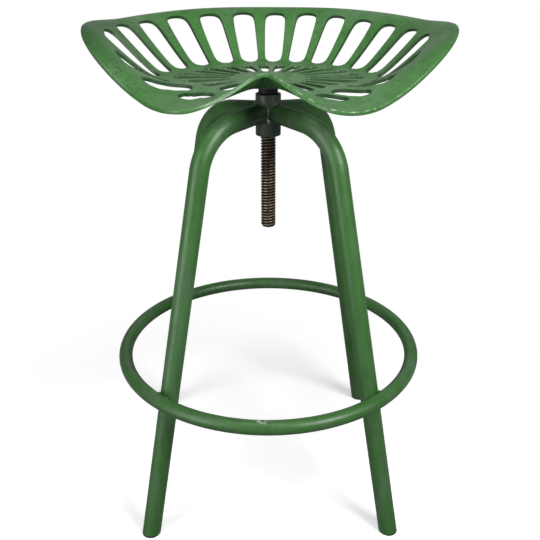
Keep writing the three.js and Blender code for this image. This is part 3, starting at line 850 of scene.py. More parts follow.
def material_once(make):
    """The material of a maker's name, made the first time it is asked for."""
    return bpy.data.materials.get(make.__name__) or make(bpy.context.scene.stool_finish)


# Seat

# Roundness of turned pieces: that of small, middling and large ones
SMALL_STEPS = 48
MIDDLE_STEPS = 64
LARGE_STEPS = 96

# Share of the reach from which a point is on the rim, and up to which an edge is at an inner slot
ON_RIM = 0.995
INNER_SLOT_END = 0.52

# Creases of the cage's edges at the inner and outer slots and at the rim
INNER_CREASE = 0.4
OUTER_CREASE = 0.6
RIM_CREASE = 0.2

# How far the cutters of the screw holes reach below and above the floor, and how round they are
HOLE_BELOW = 0.02
HOLE_ABOVE = 0.01
HOLE_STEPS = 32

PLATE_EDGE = 0.0006
SCREW_EDGE = 0.0003
SCREW_ROUNDING = 0.0002
SOCKET_RADIUS = 0.0023
SOCKET_DEPTH = 0.0018


def pan_cage(form):
    """Grid of the pan's upper face laid on its form, with the slots left out."""
    columns = pan_columns(form)
    points = [column.points() for column in columns]
    count = len(columns)
    maker = bmesh.new()
    layers = maker.verts.layers.float
    for name in ("turn", "share", "glaze", "wear", "soot"):
        layers.new(name)
    bmesh.ops.create_grid(maker, x_segments=count, y_segments=PAN_ROWS, size=1)

    def cell(at, cells):
        return (at + 1) / 2 * cells
    holes = []
    for face in maker.faces:
        middle = face.calc_center_median()
        column, row = int(cell(middle.x, count)), int(cell(middle.y, PAN_ROWS))
        if in_hole(columns[column], columns[(column + 1) % count], row):
            holes.append(face)
    for vert in maker.verts:
        row = round(cell(vert.co.y, PAN_ROWS))
        turn, part = points[round(cell(vert.co.x, count)) % count][row]
        vert[layers["turn"]], vert[layers["share"]] = turn, part
        vert[layers["wear"]] = rim_wear(turn) if row == PAN_ROWS else 0.0
        # Painted shade in the pan's outer corners, the left one more
        vert[layers["soot"]] = corner_soot(turn, part)
        vert.co = form.point(turn, part)
    bmesh.ops.delete(maker, geom=holes, context="FACES")
    bmesh.ops.remove_doubles(maker, verts=maker.verts, dist=ON_PLANE)
    return maker


def crease_cage(maker):
    """Creases the cage's free edges, and marks the points round the slots for the glaze."""
    share_of, glaze_of = (maker.verts.layers.float[name] for name in ("share", "glaze"))
    crease_of = maker.edges.layers.float.new("crease_edge")
    for edge in maker.edges:
        if not edge.is_boundary:
            continue
        most = max(vert[share_of] for vert in edge.verts)
        if most >= ON_RIM:
            edge[crease_of] = RIM_CREASE
            continue
        edge[crease_of] = INNER_CREASE if most < INNER_SLOT_END else OUTER_CREASE
        for vert in edge.verts:
            vert[glaze_of] = 1.0


def thicken_cage(maker, form):
    """Gives the cage its lower face and its walls, and marks the slots' walls."""
    turn_of, share_of, wear_of = (maker.verts.layers.float[name] for name in ("turn", "share", "wear"))
    wall_of = maker.faces.layers.float.new("wall")
    upper = list(maker.faces)
    made = bmesh.ops.extrude_face_region(maker, geom=upper, use_keep_orig=True)["geom"]
    lower = {item for item in made if isinstance(item, bmesh.types.BMFace)}
    # Marks the slots' walls, which the enamel darkens with glaze and painted shade
    for face in set(maker.faces) - set(upper) - lower:
        face[wall_of] = 1.0 if all(vert[share_of] < ON_RIM for vert in face.verts) else 0.0
    for vert in (item for item in made if isinstance(item, bmesh.types.BMVert)):
        depth = form.sizes.rim_thickness if vert[share_of] > ON_RIM else form.sizes.pan_thickness
        vert.co = form.below(vert[turn_of], vert[share_of], depth)
        vert[wear_of] = 0.0
    bmesh.ops.recalc_face_normals(maker, faces=maker.faces)


def move_to_screw(maker, sizes, place):
    x, y = SCREW_PLACES[place]
    bmesh.ops.translate(maker, verts=maker.verts, vec=(x * sizes.screw_spacing, y * sizes.screw_spacing, 0))
    return maker


def screw_hole(sizes, place):
    top, cone = sizes.floor_height, sizes.screw_head - sizes.screw_shank
    hole = turned([
        (0, top - HOLE_BELOW),
        (sizes.screw_shank + SEATING_GAP, top - HOLE_BELOW),
        (sizes.screw_shank + SEATING_GAP, top - cone),
        (sizes.screw_head + SEATING_GAP, top),
        (sizes.screw_head + SEATING_GAP, top + HOLE_ABOVE),
        (0, top + HOLE_ABOVE),
    ], HOLE_STEPS)
    return move_to_screw(hole, sizes, place)


class STOOL_OT_seat_pan(bpy.types.Operator):
    """Builds the slotted seat pan as a subdivided cage with a wall thickness."""

    bl_idname = "stool.seat_pan"
    bl_label = "Seat pan"

    def execute(self, context):
        sizes = context.scene.stool_seat
        form = PanForm(sizes)
        maker = pan_cage(form)
        crease_cage(maker)
        thicken_cage(maker, form)
        pan = object_from(
            maker, "seat_casting", "seat", material_once(seat_enamel), ["seat_pan"]
        )
        rounding = pan.modifiers.new("Rounding", "SUBSURF")
        rounding.levels = rounding.render_levels = 2
        bake_modifiers(pan)
        cut(pan, joined(screw_hole(sizes, place) for place in SCREW_PLACES))
        shade_by_angle(pan, 40)
        return {"FINISHED"}


def mount_plate(sizes):
    """Plate as large as its solid, with round corners and softened edges."""
    low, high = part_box("mount_plate")
    maker = bmesh.new()
    bmesh.ops.create_cube(maker, size=1)
    bmesh.ops.scale(maker, verts=maker.verts, vec=high - low)
    bmesh.ops.translate(maker, verts=maker.verts, vec=(low + high) / 2)

    def level(edge):
        return abs(edge.verts[0].co.z - edge.verts[1].co.z) < SAME_POINT

    def bevel(edges, offset, segments):
        bmesh.ops.bevel(maker, geom=edges, offset=offset, offset_type="OFFSET", segments=segments,
                        profile=0.5, affect="EDGES", material=-1)
    bevel([edge for edge in maker.edges if not level(edge)], sizes.plate_corner, 8)
    rims = [edge for edge in maker.edges if level(edge) and edge.calc_face_angle(0) > radians(70)]
    bevel(rims, PLATE_EDGE, 2)
    return maker


def seat_screw(sizes, place):
    """Countersunk screw without its socket."""
    bottom, top = node_low(f"seat_screw_{place}").z, sizes.floor_height
    outline = [
        (0, bottom), (sizes.screw_shank, bottom),
        (sizes.screw_shank, top - (sizes.screw_head - sizes.screw_shank)),
        (sizes.screw_head, top - SCREW_EDGE), (sizes.screw_head - SCREW_EDGE, top), (0, top),
    ]
    return move_to_screw(turned(rounded(outline, SCREW_ROUNDING, 2), SMALL_STEPS), sizes, place)


def screw_socket(sizes, place):
    socket = bmesh.new()
    bmesh.ops.create_cone(socket, cap_ends=True, segments=6, radius1=SOCKET_RADIUS, radius2=SOCKET_RADIUS,
                          depth=2 * SOCKET_DEPTH)
    bmesh.ops.translate(socket, verts=socket.verts, vec=(0, 0, sizes.floor_height))
    return move_to_screw(socket, sizes, place)


class STOOL_OT_seat_mount(bpy.types.Operator):
    """Builds the mount plate under the pan and the four seat screws."""

    bl_idname = "stool.seat_mount"
    bl_label = "Mount plate and screws"

    def execute(self, context):
        sizes = context.scene.stool_seat
        plate = object_from(mount_plate(sizes), "seat_mount_plate", "seat",
                            material_once(hub_enamel), ["mount_plate"])
        shade_by_angle(plate, 35)
        for place in SCREW_PLACES:
            screw = object_from(seat_screw(sizes, place), f"screw_{place}", "seat",
                                material_once(zinc), [f"seat_screw_{place}"])
            cut(screw, screw_socket(sizes, place))
            shade_by_angle(screw, 30)
        return {"FINISHED"}


# Screw and hub

THREAD_STEPS = 48
THREAD_FLANK = radians(15)
THREAD_EASE = 0.0003
EASE_SHARES = (0.6, 0.3)
SPINDLE_TIP = 0.0018
SPINDLE_TIP_SPARE = 0.0004
BUFFER_EDGE = 0.001
HUB_EDGE = 0.0014
HUB_MOUTH = 0.0025

# How far cutters reach past what they cut
OVERRUN = 0.003


def helix(core, crest, ridge, low, high, pitch, top):
    """Closed right-handed thread between two heights, with its ridge at the height of the solid's thread."""
    flank = (crest - core) * tan(THREAD_FLANK)
    start = top - (int((top - low) / pitch) + 2) * pitch
    turns = int((high - start) / pitch) + 2
    foot, tip = (ridge + flank) / 2, (ridge - flank) / 2
    ease, slant = THREAD_EASE, [THREAD_EASE * part for part in EASE_SHARES]
    upper = [
        (crest, tip - ease), (crest - slant[0], tip + slant[1]),
        (core + slant[0], foot - slant[1]), (core, foot + ease), (core, pitch / 2),
    ]
    lower = [(radius, -height) for radius, height in reversed(upper)]
    lower[1], lower[-1] = (core, -foot - ease), (crest, -tip + ease)
    maker = bmesh.new()
    verts = [maker.verts.new((radius, 0, start + height)) for radius, height in lower + upper]
    edges = [maker.edges.new(pair) for pair in zip(verts, verts[1:])]
    bmesh.ops.spin(maker, geom=verts + edges, cent=ORIGIN, axis=Z_AXIS, angle=tau * turns,
                   steps=THREAD_STEPS * turns, dvec=Z_AXIS * pitch / THREAD_STEPS)
    bmesh.ops.remove_doubles(maker, verts=maker.verts, dist=2 * SAME_POINT)
    for height, way in ((low, -1), (high, 1)):
        cut_off(maker, (0, 0, height), Z_AXIS * way)
        rim = [edge for edge in maker.edges if edge.is_boundary
               and all(abs(vert.co.z - height) < SAME_POINT for vert in edge.verts)]
        bmesh.ops.edgeloop_fill(maker, edges=rim)
    bmesh.ops.triangulate(maker, faces=[face for face in maker.faces if len(face.verts) > 4])
    bmesh.ops.recalc_face_normals(maker, faces=maker.faces)
    return maker


class STOOL_OT_spindle(bpy.types.Operator):
    """Builds the threaded spindle and the buffer ring round its upper end."""

    bl_idname = "stool.spindle"
    bl_label = "Spindle and buffer"

    def execute(self, context):
        sizes = context.scene.stool_frame
        low, high = node_low("spindle").z, node_high("spindle").z
        pitch, crest = sizes.thread_pitch, sizes.thread_crest
        thread = helix(
            sizes.thread_core, crest, pitch / 2 - THREAD_GAP, low, high, pitch, node_high("hub").z
        )
        screw = object_from(
            thread, "screw_spindle", "seat", material_once(browned_steel), ["spindle"]
        )
        wide, under = crest + OVERRUN, low - SPINDLE_TIP_SPARE
        envelope = turned([
            (0, under), (crest - SPINDLE_TIP - SPINDLE_TIP_SPARE, under), (wide, low + SPINDLE_TIP + OVERRUN),
            (wide, high + OVERRUN), (0, high + OVERRUN),
        ], MIDDLE_STEPS)
        cut(screw, envelope, "INTERSECT")
        shade_by_angle(screw, 38)

        # Black buffer ring: rubber, and a stand-in for the deep shade between the hub and the mount plate
        low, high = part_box("buffer_ring")
        bore, outer, seam = crest + SEATING_GAP, high.x, low.z + OVERRUN
        ring = turned(rounded([
            (bore, seam), (bore, low.z), (outer, low.z), (outer, high.z), (bore, high.z), (bore, seam),
        ], BUFFER_EDGE, 4), MIDDLE_STEPS)
        buffer = object_from(
            ring, "buffer_sleeve", "lift", material_once(rubber), ["buffer_ring"]
        )
        shade_by_angle(buffer, 40)
        return {"FINISHED"}


class STOOL_OT_hub(bpy.types.Operator):
    """Builds the threaded hub."""

    bl_idname = "stool.hub"
    bl_label = "Hub"

    def execute(self, context):
        sizes = context.scene.stool_frame
        low, high = node_low("hub").z, node_high("hub").z
        outer = hub_radius()
        outline = [(0, low), (outer, low), (outer, high), (0, high)]
        blank = turned(rounded(outline, HUB_EDGE, 5), LARGE_STEPS)
        hub = object_from(blank, "threaded_hub", "base", material_once(hub_enamel), ["hub"])
        root = sizes.thread_crest + SEATING_GAP
        cut(hub, helix(sizes.thread_core + SEATING_GAP, root, sizes.thread_pitch / 2 + THREAD_GAP,
                       low - OVERRUN, high + OVERRUN, sizes.thread_pitch, high))
        for height, way in ((low, -1), (high, 1)):
            inwards, outwards = height - way * HUB_MOUTH, height + way * HUB_MOUTH
            cut(hub, turned([
                (0, inwards), (root - HUB_MOUTH, inwards), (root + HUB_MOUTH, outwards), (0, outwards),
            ], MIDDLE_STEPS))
        shade_by_angle(hub, 38)
        return {"FINISHED"}


# Legs and foot ring

LEG_SIDES = 48
SHIN_STEPS = 24
BEND_STEPS = 28
STUB_STEPS = 4

# Distance from the axis to which a leg's upper end reaches, and spare length below its foot's cut
STUB_END = 0.0107
FOOT_SPARE = 0.01

# Painted shade of the legs near the hub, from a reach over a length, and darkening down their lower part
HUB_SHADE_HEIGHT = 0.5
HUB_SHADE_REACH = 0.014
HUB_SHADE_LENGTH = 0.075
SHIN_DARKENING = 0.24
SHIN_DARKENING_HEIGHT = 0.36

# Darkening of the ring all over and on its left, and painted shade below
RING_DARKENING = 0.2
RING_SHADE_BELOW = 0.3
RING_DARKENING_LEFT = 0.2

# Rubbed spot in the ring's front: its place, its size and how bare it is
RUB_X = 0.003
RUB_INSET = 0.005
RUB_SIZE = 0.014
RUB_REACH = 1.6
RUB_MOST = 0.85


def hub_radius():
    return -node_low("hub").y


class LegLine:
    """Middle line of a leg in its own plane, with X outwards."""

    def __init__(self, sizes):
        self.sizes = sizes
        self.hub_radius = hub_radius()
        self.top = node_high("hub").z - sizes.leg_below_hub
        drop, lean = sizes.stub_drop, sizes.leg_lean
        fall, run = tan(drop), tan(lean)
        reach = (sizes.foot_reach - run * (self.top + self.hub_radius * fall)) / (1 - run * fall)
        self.corner = Vector((reach, 0, self.stub_height(reach)))
        self.stub = Vector((cos(drop), 0, -sin(drop)))
        self.shin = Vector((sin(lean), 0, -cos(lean)))
        self.bend = pi / 2 - drop - lean
        tangent = sizes.bend_radius * tan(self.bend / 2)
        self.bend_high = self.corner - self.stub * tangent
        self.bend_low = self.corner + self.shin * tangent
        self.centre = self.bend_high - Vector((sin(drop), 0, cos(drop))) * sizes.bend_radius
        self.ring_reach = self.reach_at(sizes.ring_height) + (
            sizes.leg_radius + sizes.ring_bar + sizes.foot_gap) / cos(lean)

    def reach_at(self, height):
        """Distance of the shin's middle from the axis."""
        return self.sizes.foot_reach - height * tan(self.sizes.leg_lean)

    def stub_height(self, reach):
        """Height of the stub's middle at a distance from the axis."""
        return self.top - (reach - self.hub_radius) * tan(self.sizes.stub_drop)


def leg_turn(sizes, k):
    """Turn of a leg round the axis, counted on past the last leg."""
    extra = sizes.back_left_turn if LEG_PLACES[k % len(LEG_PLACES)] == "back_left" else 0
    return sizes.leg_turn + k * tau / len(LEG_PLACES) + extra


def half_room(sizes, k, side):
    """Half the angle between a leg and its neighbour on one side."""
    return abs(leg_turn(sizes, k + side) - leg_turn(sizes, k)) / 2


def leg_rotation(sizes, k):
    return Matrix.Rotation(leg_turn(sizes, k), 4, "Z")


def leg_soot(place):
    """Painted shade of a leg, most at the hub under the seat, and a little darkening towards its foot."""
    if place.z > HUB_SHADE_HEIGHT:
        return max(0.0, 1.0 - (place.x - HUB_SHADE_REACH) / HUB_SHADE_LENGTH)
    return SHIN_DARKENING * min(1.0, max(0.0, 1.0 - place.z / SHIN_DARKENING_HEIGHT)) ** 0.5


def edges_among(items):
    return [item for item in items if isinstance(item, bmesh.types.BMEdge)]


def pulled(maker, edges, step):
    """Extrudes a ring of edges by a step, and gives the new ring."""
    made = bmesh.ops.extrude_edge_only(maker, edges=edges)["geom"]
    verts = [item for item in made if isinstance(item, bmesh.types.BMVert)]
    bmesh.ops.translate(maker, verts=verts, vec=step)
    return edges_among(made)


def leg_skin(sizes, line, k):
    """Outer face of a leg's tube in its own plane, cut off at the plug, the hub and its neighbours."""
    maker = bmesh.new()
    shade_and_darkening_of = maker.verts.layers.float.new("soot")
    bmesh.ops.create_circle(maker, segments=LEG_SIDES, radius=sizes.leg_radius)
    foot = Vector((line.reach_at(0), 0, 0)) + line.shin * FOOT_SPARE
    turn_down = Z_AXIS.rotation_difference(-line.shin).to_matrix().to_4x4()
    bmesh.ops.transform(maker, matrix=Matrix.Translation(foot) @ turn_down, verts=maker.verts)
    ring = list(maker.edges)
    for _ in range(SHIN_STEPS):
        ring = pulled(maker, ring, (line.bend_low - foot) / SHIN_STEPS)
    verts = list({vert for edge in ring for vert in edge.verts})
    spun = bmesh.ops.spin(
        maker, geom=verts + ring, cent=line.centre, axis=Y_AXIS, angle=-line.bend, steps=BEND_STEPS
    )
    ring = edges_among(spun["geom_last"])
    stub_length = (line.bend_high.x - STUB_END) / line.stub.x
    for _ in range(STUB_STEPS):
        ring = pulled(maker, ring, -line.stub * stub_length / STUB_STEPS)
    bmesh.ops.remove_doubles(maker, verts=maker.verts, dist=SAME_POINT)

    cut_off(maker, (0, 0, sizes.plug_head + sizes.foot_gap), -Z_AXIS)
    cut_off(maker, (STUB_END, 0, 0), Vector((-1, 0, 0)))
    for side in (-1, 1):
        half = half_room(sizes, k, side)
        cut_off(maker, ORIGIN, Vector((-sin(half), side * cos(half), 0)))
    bmesh.ops.recalc_face_normals(maker, faces=maker.faces)
    top_face = max(maker.faces, key=lambda face: face.calc_center_median().z)
    if top_face.normal.z < 0:
        bmesh.ops.reverse_faces(maker, faces=maker.faces)
    # Painted shade near the hub, and darkening towards the foot
    for vert in maker.verts:
        vert[shade_and_darkening_of] = leg_soot(vert.co)
    return maker


def foot_plug(sizes):
    """Plug in a leg's own plane, leaning as the leg does."""
    stem = sizes.leg_radius - sizes.leg_wall - sizes.foot_gap
    stem_top = sizes.plug_head + sizes.plug_stem
    maker = turned(rounded([
        (0, 0), (sizes.leg_radius, 0), (sizes.leg_radius, sizes.plug_head), (stem, sizes.plug_head),
        (stem, stem_top), (0, stem_top),
    ], sizes.plug_edge, 4), LEG_SIDES)
    lean = Matrix.Identity(4)
    lean[0][0] = 1 / cos(sizes.leg_lean)
    lean[0][2] = -tan(sizes.leg_lean)
    lean[0][3] = sizes.foot_reach
    bmesh.ops.transform(maker, matrix=lean, verts=maker.verts)
    return maker


class STOOL_OT_legs(bpy.types.Operator):
    """Builds the four bent leg tubes and their foot plugs."""

    bl_idname = "stool.legs"
    bl_label = "Legs and plugs"

    def execute(self, context):
        sizes = context.scene.stool_frame
        line = LegLine(sizes)
        for k, place in enumerate(LEG_PLACES):
            skin, cap = leg_skin(sizes, line, k), foot_plug(sizes)
            for maker in (skin, cap):
                bmesh.ops.transform(maker, matrix=leg_rotation(sizes, k), verts=maker.verts)
            leg = object_from(skin, f"leg_tube_{place}", "base",
                              material_once(frame_enamel), [f"leg_{place}"])
            wall = leg.modifiers.new("Wall", "SOLIDIFY")
            wall.thickness = sizes.leg_wall
            wall.offset = -1
            bake_modifiers(leg)
            shade_by_angle(leg, 40)
            cap = object_from(cap, f"foot_cap_{place}", "base",
                              material_once(plug), [f"foot_plug_{place}"])
            shade_by_angle(cap, 40)
        return {"FINISHED"}


class STOOL_OT_ring(bpy.types.Operator):
    """Builds the foot ring."""

    bl_idname = "stool.ring"
    bl_label = "Foot ring"

    def execute(self, context):
        sizes = context.scene.stool_frame
        reach = LegLine(sizes).ring_reach - sizes.foot_gap
        maker = bmesh.new()
        wear_of = maker.verts.layers.float.new("wear")
        shade_and_darkening_of = maker.verts.layers.float.new("soot")
        bmesh.ops.create_circle(maker, segments=40, radius=sizes.ring_bar)
        upright = Matrix.Translation((reach, 0, sizes.ring_height)) @ Matrix.Rotation(pi / 2, 4, "X")
        bmesh.ops.transform(maker, matrix=upright, verts=maker.verts)
        bmesh.ops.spin(maker, geom=maker.verts[:] + maker.edges[:], cent=ORIGIN, axis=Z_AXIS, angle=tau,
                       steps=192, use_merge=True)
        bmesh.ops.remove_doubles(maker, verts=maker.verts, dist=SAME_POINT)
        bmesh.ops.recalc_face_normals(maker, faces=maker.faces)
        for vert in maker.verts:
            away = hypot(vert.co.x - RUB_X, vert.co.y + reach - RUB_INSET) / RUB_SIZE
            upwards = (vert.co.z - sizes.ring_height) / sizes.ring_bar
            below, left = max(0.0, -upwards), max(0.0, -vert.co.x / reach)
            vert[wear_of] = max(0.0, min(RUB_MOST, RUB_REACH - away)) * max(0.0, upwards)
            # Darkening all over and on the left, and painted shade on the ring's underside
            vert[shade_and_darkening_of] = RING_DARKENING + RING_SHADE_BELOW * below + RING_DARKENING_LEFT * left
        object_from(maker, "ring_bar", "base", material_once(frame_enamel), ["foot_ring"])
        return {"FINISHED"}


# Welds

BEAD_GLAZE = 0.25

# Steps of the beads, and how many steps lie between their ripples
HUB_WELD_STEPS = 72
HUB_WELD_RIPPLE = 4.5
SEAM_STEPS = 20
SEAM_RIPPLE = 3.7
TACK_STEPS = 8
TACK_RIPPLE = 3.1

# Height of the ripples and their unevenness as shares of a bead, and where its noise is read
RIPPLE_HEIGHT = 0.1
RIPPLE_UNEVENNESS = 0.12
RIPPLE_STRIDE = 0.37
RIPPLE_PLACE = (2.1, 5.3)

# How many steps of noise lie between two beads of a kind
HUB_WELD_STRIDE = 100
SEAM_STRIDE = 60
TACK_STRIDE = 40

# The hub's beads are a little narrower than the legs, and the seams stand out from the mitres
HUB_WELD_WIDTH = 0.97
SEAM_SIZE = 1.4
SEAM_OUT = 0.0004
SEAM_WEAR = 0.4
FRONT_SEAM_WEAR = 1.0

# Tacks at the ring: where they lie across a leg, how high, and their radius at least and past the gap
TACK_NEAR = 0.0035
TACK_FAR = 0.009
TACK_LIFT = 0.001
TACK_LEG_LIFT = 0.003
TACK_LEAST = 0.0014
TACK_SPARE = 0.0008
TACK_TAPER = 0.35


def bead(name, path, material, slot, closed=False, wear=0.0):
    """A weld bead along (point, radius) pairs."""
    line = bpy.data.curves.new(name, "CURVE")
    line.dimensions = "3D"
    line.bevel_depth = 1.0
    line.bevel_resolution = 4
    line.use_fill_caps = True
    spline = line.splines.new("POLY")
    spline.points.add(len(path) - 1)
    spline.use_cyclic_u = closed
    for point, (place, radius) in zip(spline.points, path):
        point.co = (*place, 1)
        point.radius = radius
    holder = bpy.data.objects.new(name, line)
    bpy.context.scene.collection.objects.link(holder)
    bpy.context.view_layer.update()
    mesh = bpy.data.meshes.new_from_object(holder)
    bpy.data.objects.remove(holder)
    bpy.data.curves.remove(line)
    maker = bmesh.new()
    maker.from_mesh(mesh)
    bpy.data.meshes.remove(mesh)
    bmesh.ops.remove_doubles(maker, verts=maker.verts, dist=SAME_POINT)
    bmesh.ops.recalc_face_normals(maker, faces=maker.faces)
    glaze_of = maker.verts.layers.float.new("glaze")
    wear_of = maker.verts.layers.float.new("wear")
    for vert in maker.verts:
        vert[glaze_of], vert[wear_of] = BEAD_GLAZE, wear
    return object_from(maker, name, "base", material, [])


def ripple(k, spacing):
    """Uneven thickness of a bead at one of its steps."""
    uneven = noise.noise(Vector((k * RIPPLE_STRIDE, *RIPPLE_PLACE)))
    return 1 + RIPPLE_HEIGHT * sin(k * tau / spacing) + RIPPLE_UNEVENNESS * uneven


class STOOL_OT_welds(bpy.types.Operator):
    """Builds the weld beads at the hub, between the legs and at the ring."""

    bl_idname = "stool.welds"
    bl_label = "Weld beads"

    def hub_weld(self, sizes, line, k):
        """Path of the bead round a leg's end on the hub."""
        path = []
        for step in range(HUB_WELD_STEPS):
            phase = tau * step / HUB_WELD_STEPS
            y = sizes.leg_radius * cos(phase)
            half = half_room(sizes, k, 1 if y > 0 else -1)
            x = max(sqrt(line.hub_radius ** 2 - y ** 2), abs(y) / tan(half))
            height = line.stub_height(x) + sizes.leg_radius * sin(phase) / cos(sizes.stub_drop)
            point = leg_rotation(sizes, k) @ Vector((x, y * HUB_WELD_WIDTH, height))
            path.append((point, sizes.weld_bead * ripple(step + HUB_WELD_STRIDE * k, HUB_WELD_RIPPLE)))
        return path

    def leg_seam(self, sizes, line, k):
        """Path of the bead along the mitre between a leg and the next."""
        half = half_room(sizes, k, 1)
        mitre = leg_rotation(sizes, k) @ Matrix.Rotation(half, 4, "Z")
        path = []
        for step in range(SEAM_STEPS + 1):
            phase = pi * (0.5 - step / SEAM_STEPS)
            out = max(line.hub_radius, sizes.leg_radius * cos(phase) / sin(half)) + SEAM_OUT
            height = line.stub_height(out * cos(half)) + sizes.leg_radius * sin(phase)
            radius = sizes.weld_bead * SEAM_SIZE * ripple(step + SEAM_STRIDE * k, SEAM_RIPPLE)
            path.append((mitre @ Vector((out, 0, height)), radius))
        return path

    def ring_tack(self, sizes, line, k, side):
        """Path of a tack between a leg and the ring, on one side of the leg."""
        path = []
        for step in range(TACK_STEPS + 1):
            part = step / TACK_STEPS
            across = side * lerp(TACK_NEAR, TACK_FAR, part)
            inward = sqrt(max(0.0, sizes.leg_radius ** 2 - across ** 2))
            leg_face = line.reach_at(sizes.ring_height + TACK_LEG_LIFT) + inward
            ring_face = sqrt((line.ring_reach - sizes.ring_bar) ** 2 - across ** 2)
            middle = Vector(((leg_face + ring_face) / 2, across, sizes.ring_height + TACK_LIFT))
            thick = max(TACK_LEAST, (ring_face - leg_face) / 2 + TACK_SPARE) * (1 - TACK_TAPER * part)
            radius = thick * ripple(step + TACK_STRIDE * k, TACK_RIPPLE)
            path.append((leg_rotation(sizes, k) @ middle, radius))
        return path

    def execute(self, context):
        sizes = context.scene.stool_frame
        line = LegLine(sizes)
        at_hub = (material_once(hub_enamel), "hub_paint")
        at_ring = (material_once(frame_enamel), "frame_paint")
        for k, place in enumerate(LEG_PLACES):
            bead(f"hub_weld_{place}", self.hub_weld(sizes, line, k), *at_hub, closed=True)
            wear = FRONT_SEAM_WEAR if place == "front_left" else SEAM_WEAR
            bead(f"leg_seam_{place}", self.leg_seam(sizes, line, k), *at_hub, wear=wear)
            for side, name in ((-1, "right"), (1, "left")):
                bead(f"ring_weld_{place}_{name}", self.ring_tack(sizes, line, k, side), *at_ring)
        return {"FINISHED"}


# Studio

FLOOR_HALF = 30
FLOOR_DEPTH = 0.0005
FADE_START = 0.2
FADE_END = 0.62
SENSOR_WIDTH = 36
LIGHT_TARGET = Vector((0, 0, 0.55))

# Place and size of each softbox, by the setting that holds its power
SOFTBOXES = {
    "key_power": ("left_softbox", (-1.1, -1.1, 0.8), (0.9, 1.7)),
    "fill_power": ("right_softbox", (0.95, -0.9, 1.3), (0.7, 0.9)),
    "top_power": ("top_softbox", (-0.1, -0.35, 1.85), (0.9, 0.7)),
    "back_power": ("back_softbox", (0.0, 1.5, 1.1), (2.0, 0.8)),
}


def add_object(name, data):
    thing = bpy.data.objects.new(name, data)
    bpy.context.scene.collection.objects.link(thing)
    return thing


def white_seen(tree, studio):
    """How much of the white background a ray sees: all from the camera, part of it in reflections."""
    rays = add_node(tree, "ShaderNodeLightPath").outputs
    straight = worked(tree, "MAXIMUM", rays["Is Camera Ray"], rays["Is Transmission Ray"])
    return worked(tree, "MAXIMUM", straight, times(tree, rays["Is Glossy Ray"], studio.reflected))


def pale_floor(studio):
    """Floor that looks pale, keeps the shadow, and fades to white away from the stool."""
    material, tree, inputs, place = new_material("pale_floor")
    seen = white_seen(tree, studio)
    put(tree, inputs["Base Color"], mixed(tree, seen, studio.floor_bounce, studio.floor))
    put(tree, inputs["Roughness"], 0.9)
    put(tree, inputs["Specular IOR Level"], 0.0)
    put(tree, inputs["Emission Color"], WHITE)
    put(tree, inputs["Emission Strength"], times(tree, seen, studio.floor_lift))
    away = add_node(tree, "ShaderNodeVectorMath", {0: place}, operation="LENGTH").outputs["Value"]
    fade = between(tree, away, FADE_START, FADE_END)
    white = add_node(tree, "ShaderNodeEmission", {"Color": WHITE, "Strength": 1.0}).outputs[0]
    blend = add_node(tree, "ShaderNodeMixShader", {
        0: times(tree, fade, seen), 1: tree.nodes["Principled BSDF"].outputs[0], 2: white,
    })
    put(tree, tree.nodes["Material Output"].inputs["Surface"], blend.outputs[0])
    return material


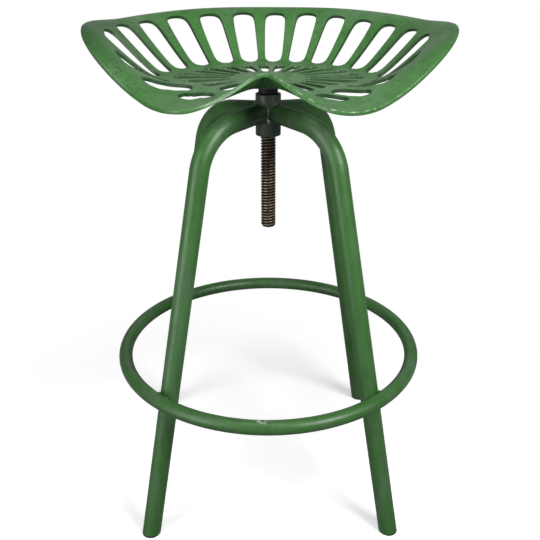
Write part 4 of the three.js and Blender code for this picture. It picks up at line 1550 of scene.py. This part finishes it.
class STOOL_OT_studio(bpy.types.Operator):
    """Sets up the floor, the lights and the camera."""

    bl_idname = "stool.studio"
    bl_label = "Studio"

    def add_floor(self, studio):
        maker = bmesh.new()
        bmesh.ops.create_grid(maker, x_segments=1, y_segments=1, size=FLOOR_HALF)
        bmesh.ops.translate(maker, verts=maker.verts, vec=(0, 0, -FLOOR_DEPTH))
        mesh = bpy.data.meshes.new("studio_floor")
        maker.to_mesh(mesh)
        maker.free()
        mesh.materials.append(pale_floor(studio))
        add_object("studio_floor", mesh)

    def add_world(self, scene, studio):
        scene.world = bpy.data.worlds.new("studio_world")
        scene.world.use_nodes = True
        tree = scene.world.node_tree
        inputs = tree.nodes["Background"].inputs
        put(tree, inputs["Color"], WHITE)
        put(tree, inputs["Strength"], worked(tree, "MAXIMUM", white_seen(tree, studio), studio.ambient))

    def add_lights(self, studio):
        for setting, (name, place, size) in SOFTBOXES.items():
            light = bpy.data.lights.new(name, "AREA")
            light.shape = "RECTANGLE"
            light.size, light.size_y = size
            light.energy = getattr(studio, setting)
            lamp = add_object(name, light)
            lamp.location = place
            lamp.rotation_euler = (LIGHT_TARGET - lamp.location).to_track_quat("-Z", "Y").to_euler()

    def add_camera(self, scene, studio):
        lens = bpy.data.cameras.new("camera")
        lens.sensor_width = SENSOR_WIDTH
        lens.lens = studio.focal_length
        camera = add_object("camera", lens)
        around = Matrix.Rotation(studio.around, 3, "Z")
        camera.location = around @ Vector((0, -studio.distance, studio.height))
        forward = around @ Vector((
            sin(studio.yaw) * cos(studio.pitch), cos(studio.yaw) * cos(studio.pitch), -sin(studio.pitch),
        ))
        camera.rotation_euler = forward.to_track_quat("-Z", "Y").to_euler()
        scene.camera = camera

    def execute(self, context):
        scene, studio = context.scene, context.scene.stool_studio
        scene.view_settings.view_transform = "Standard"
        self.add_floor(studio)
        self.add_world(scene, studio)
        self.add_lights(studio)
        self.add_camera(scene, studio)
        return {"FINISHED"}


GROUPS = {
    "stool_seat": STOOL_PG_seat,
    "stool_frame": STOOL_PG_frame,
    "stool_finish": STOOL_PG_finish,
    "stool_studio": STOOL_PG_studio,
}
OPERATORS = [
    STOOL_OT_seat_pan, STOOL_OT_seat_mount, STOOL_OT_spindle, STOOL_OT_hub, STOOL_OT_legs, STOOL_OT_ring,
    STOOL_OT_welds, STOOL_OT_studio,
]


class STOOL_PT_sidebar(bpy.types.Panel):
    """Lists the stool's pieces."""

    bl_idname = "STOOL_PT_sidebar"
    bl_label = "Tractor seat stool"
    bl_space_type = "VIEW_3D"
    bl_region_type = "UI"
    bl_category = "Stool"

    def draw(self, context):
        for operator in OPERATORS:
            self.layout.operator(operator.bl_idname)
        for group, kind in GROUPS.items():
            box = self.layout.box()
            for name in kind.__annotations__:
                box.prop(getattr(context.scene, group), name)


def register():
    for kind in [*GROUPS.values(), *OPERATORS, STOOL_PT_sidebar]:
        bpy.utils.register_class(kind)
    for name, kind in GROUPS.items():
        setattr(bpy.types.Scene, name, PointerProperty(type=kind))


def unregister():
    for name in GROUPS:
        delattr(bpy.types.Scene, name)
    for kind in reversed([*GROUPS.values(), *OPERATORS, STOOL_PT_sidebar]):
        bpy.utils.unregister_class(kind)


def main():
    register()
    for operator in OPERATORS:
        group, name = operator.bl_idname.split(".")
        getattr(getattr(bpy.ops, group), name)()


if __name__ == "__main__":
    main()
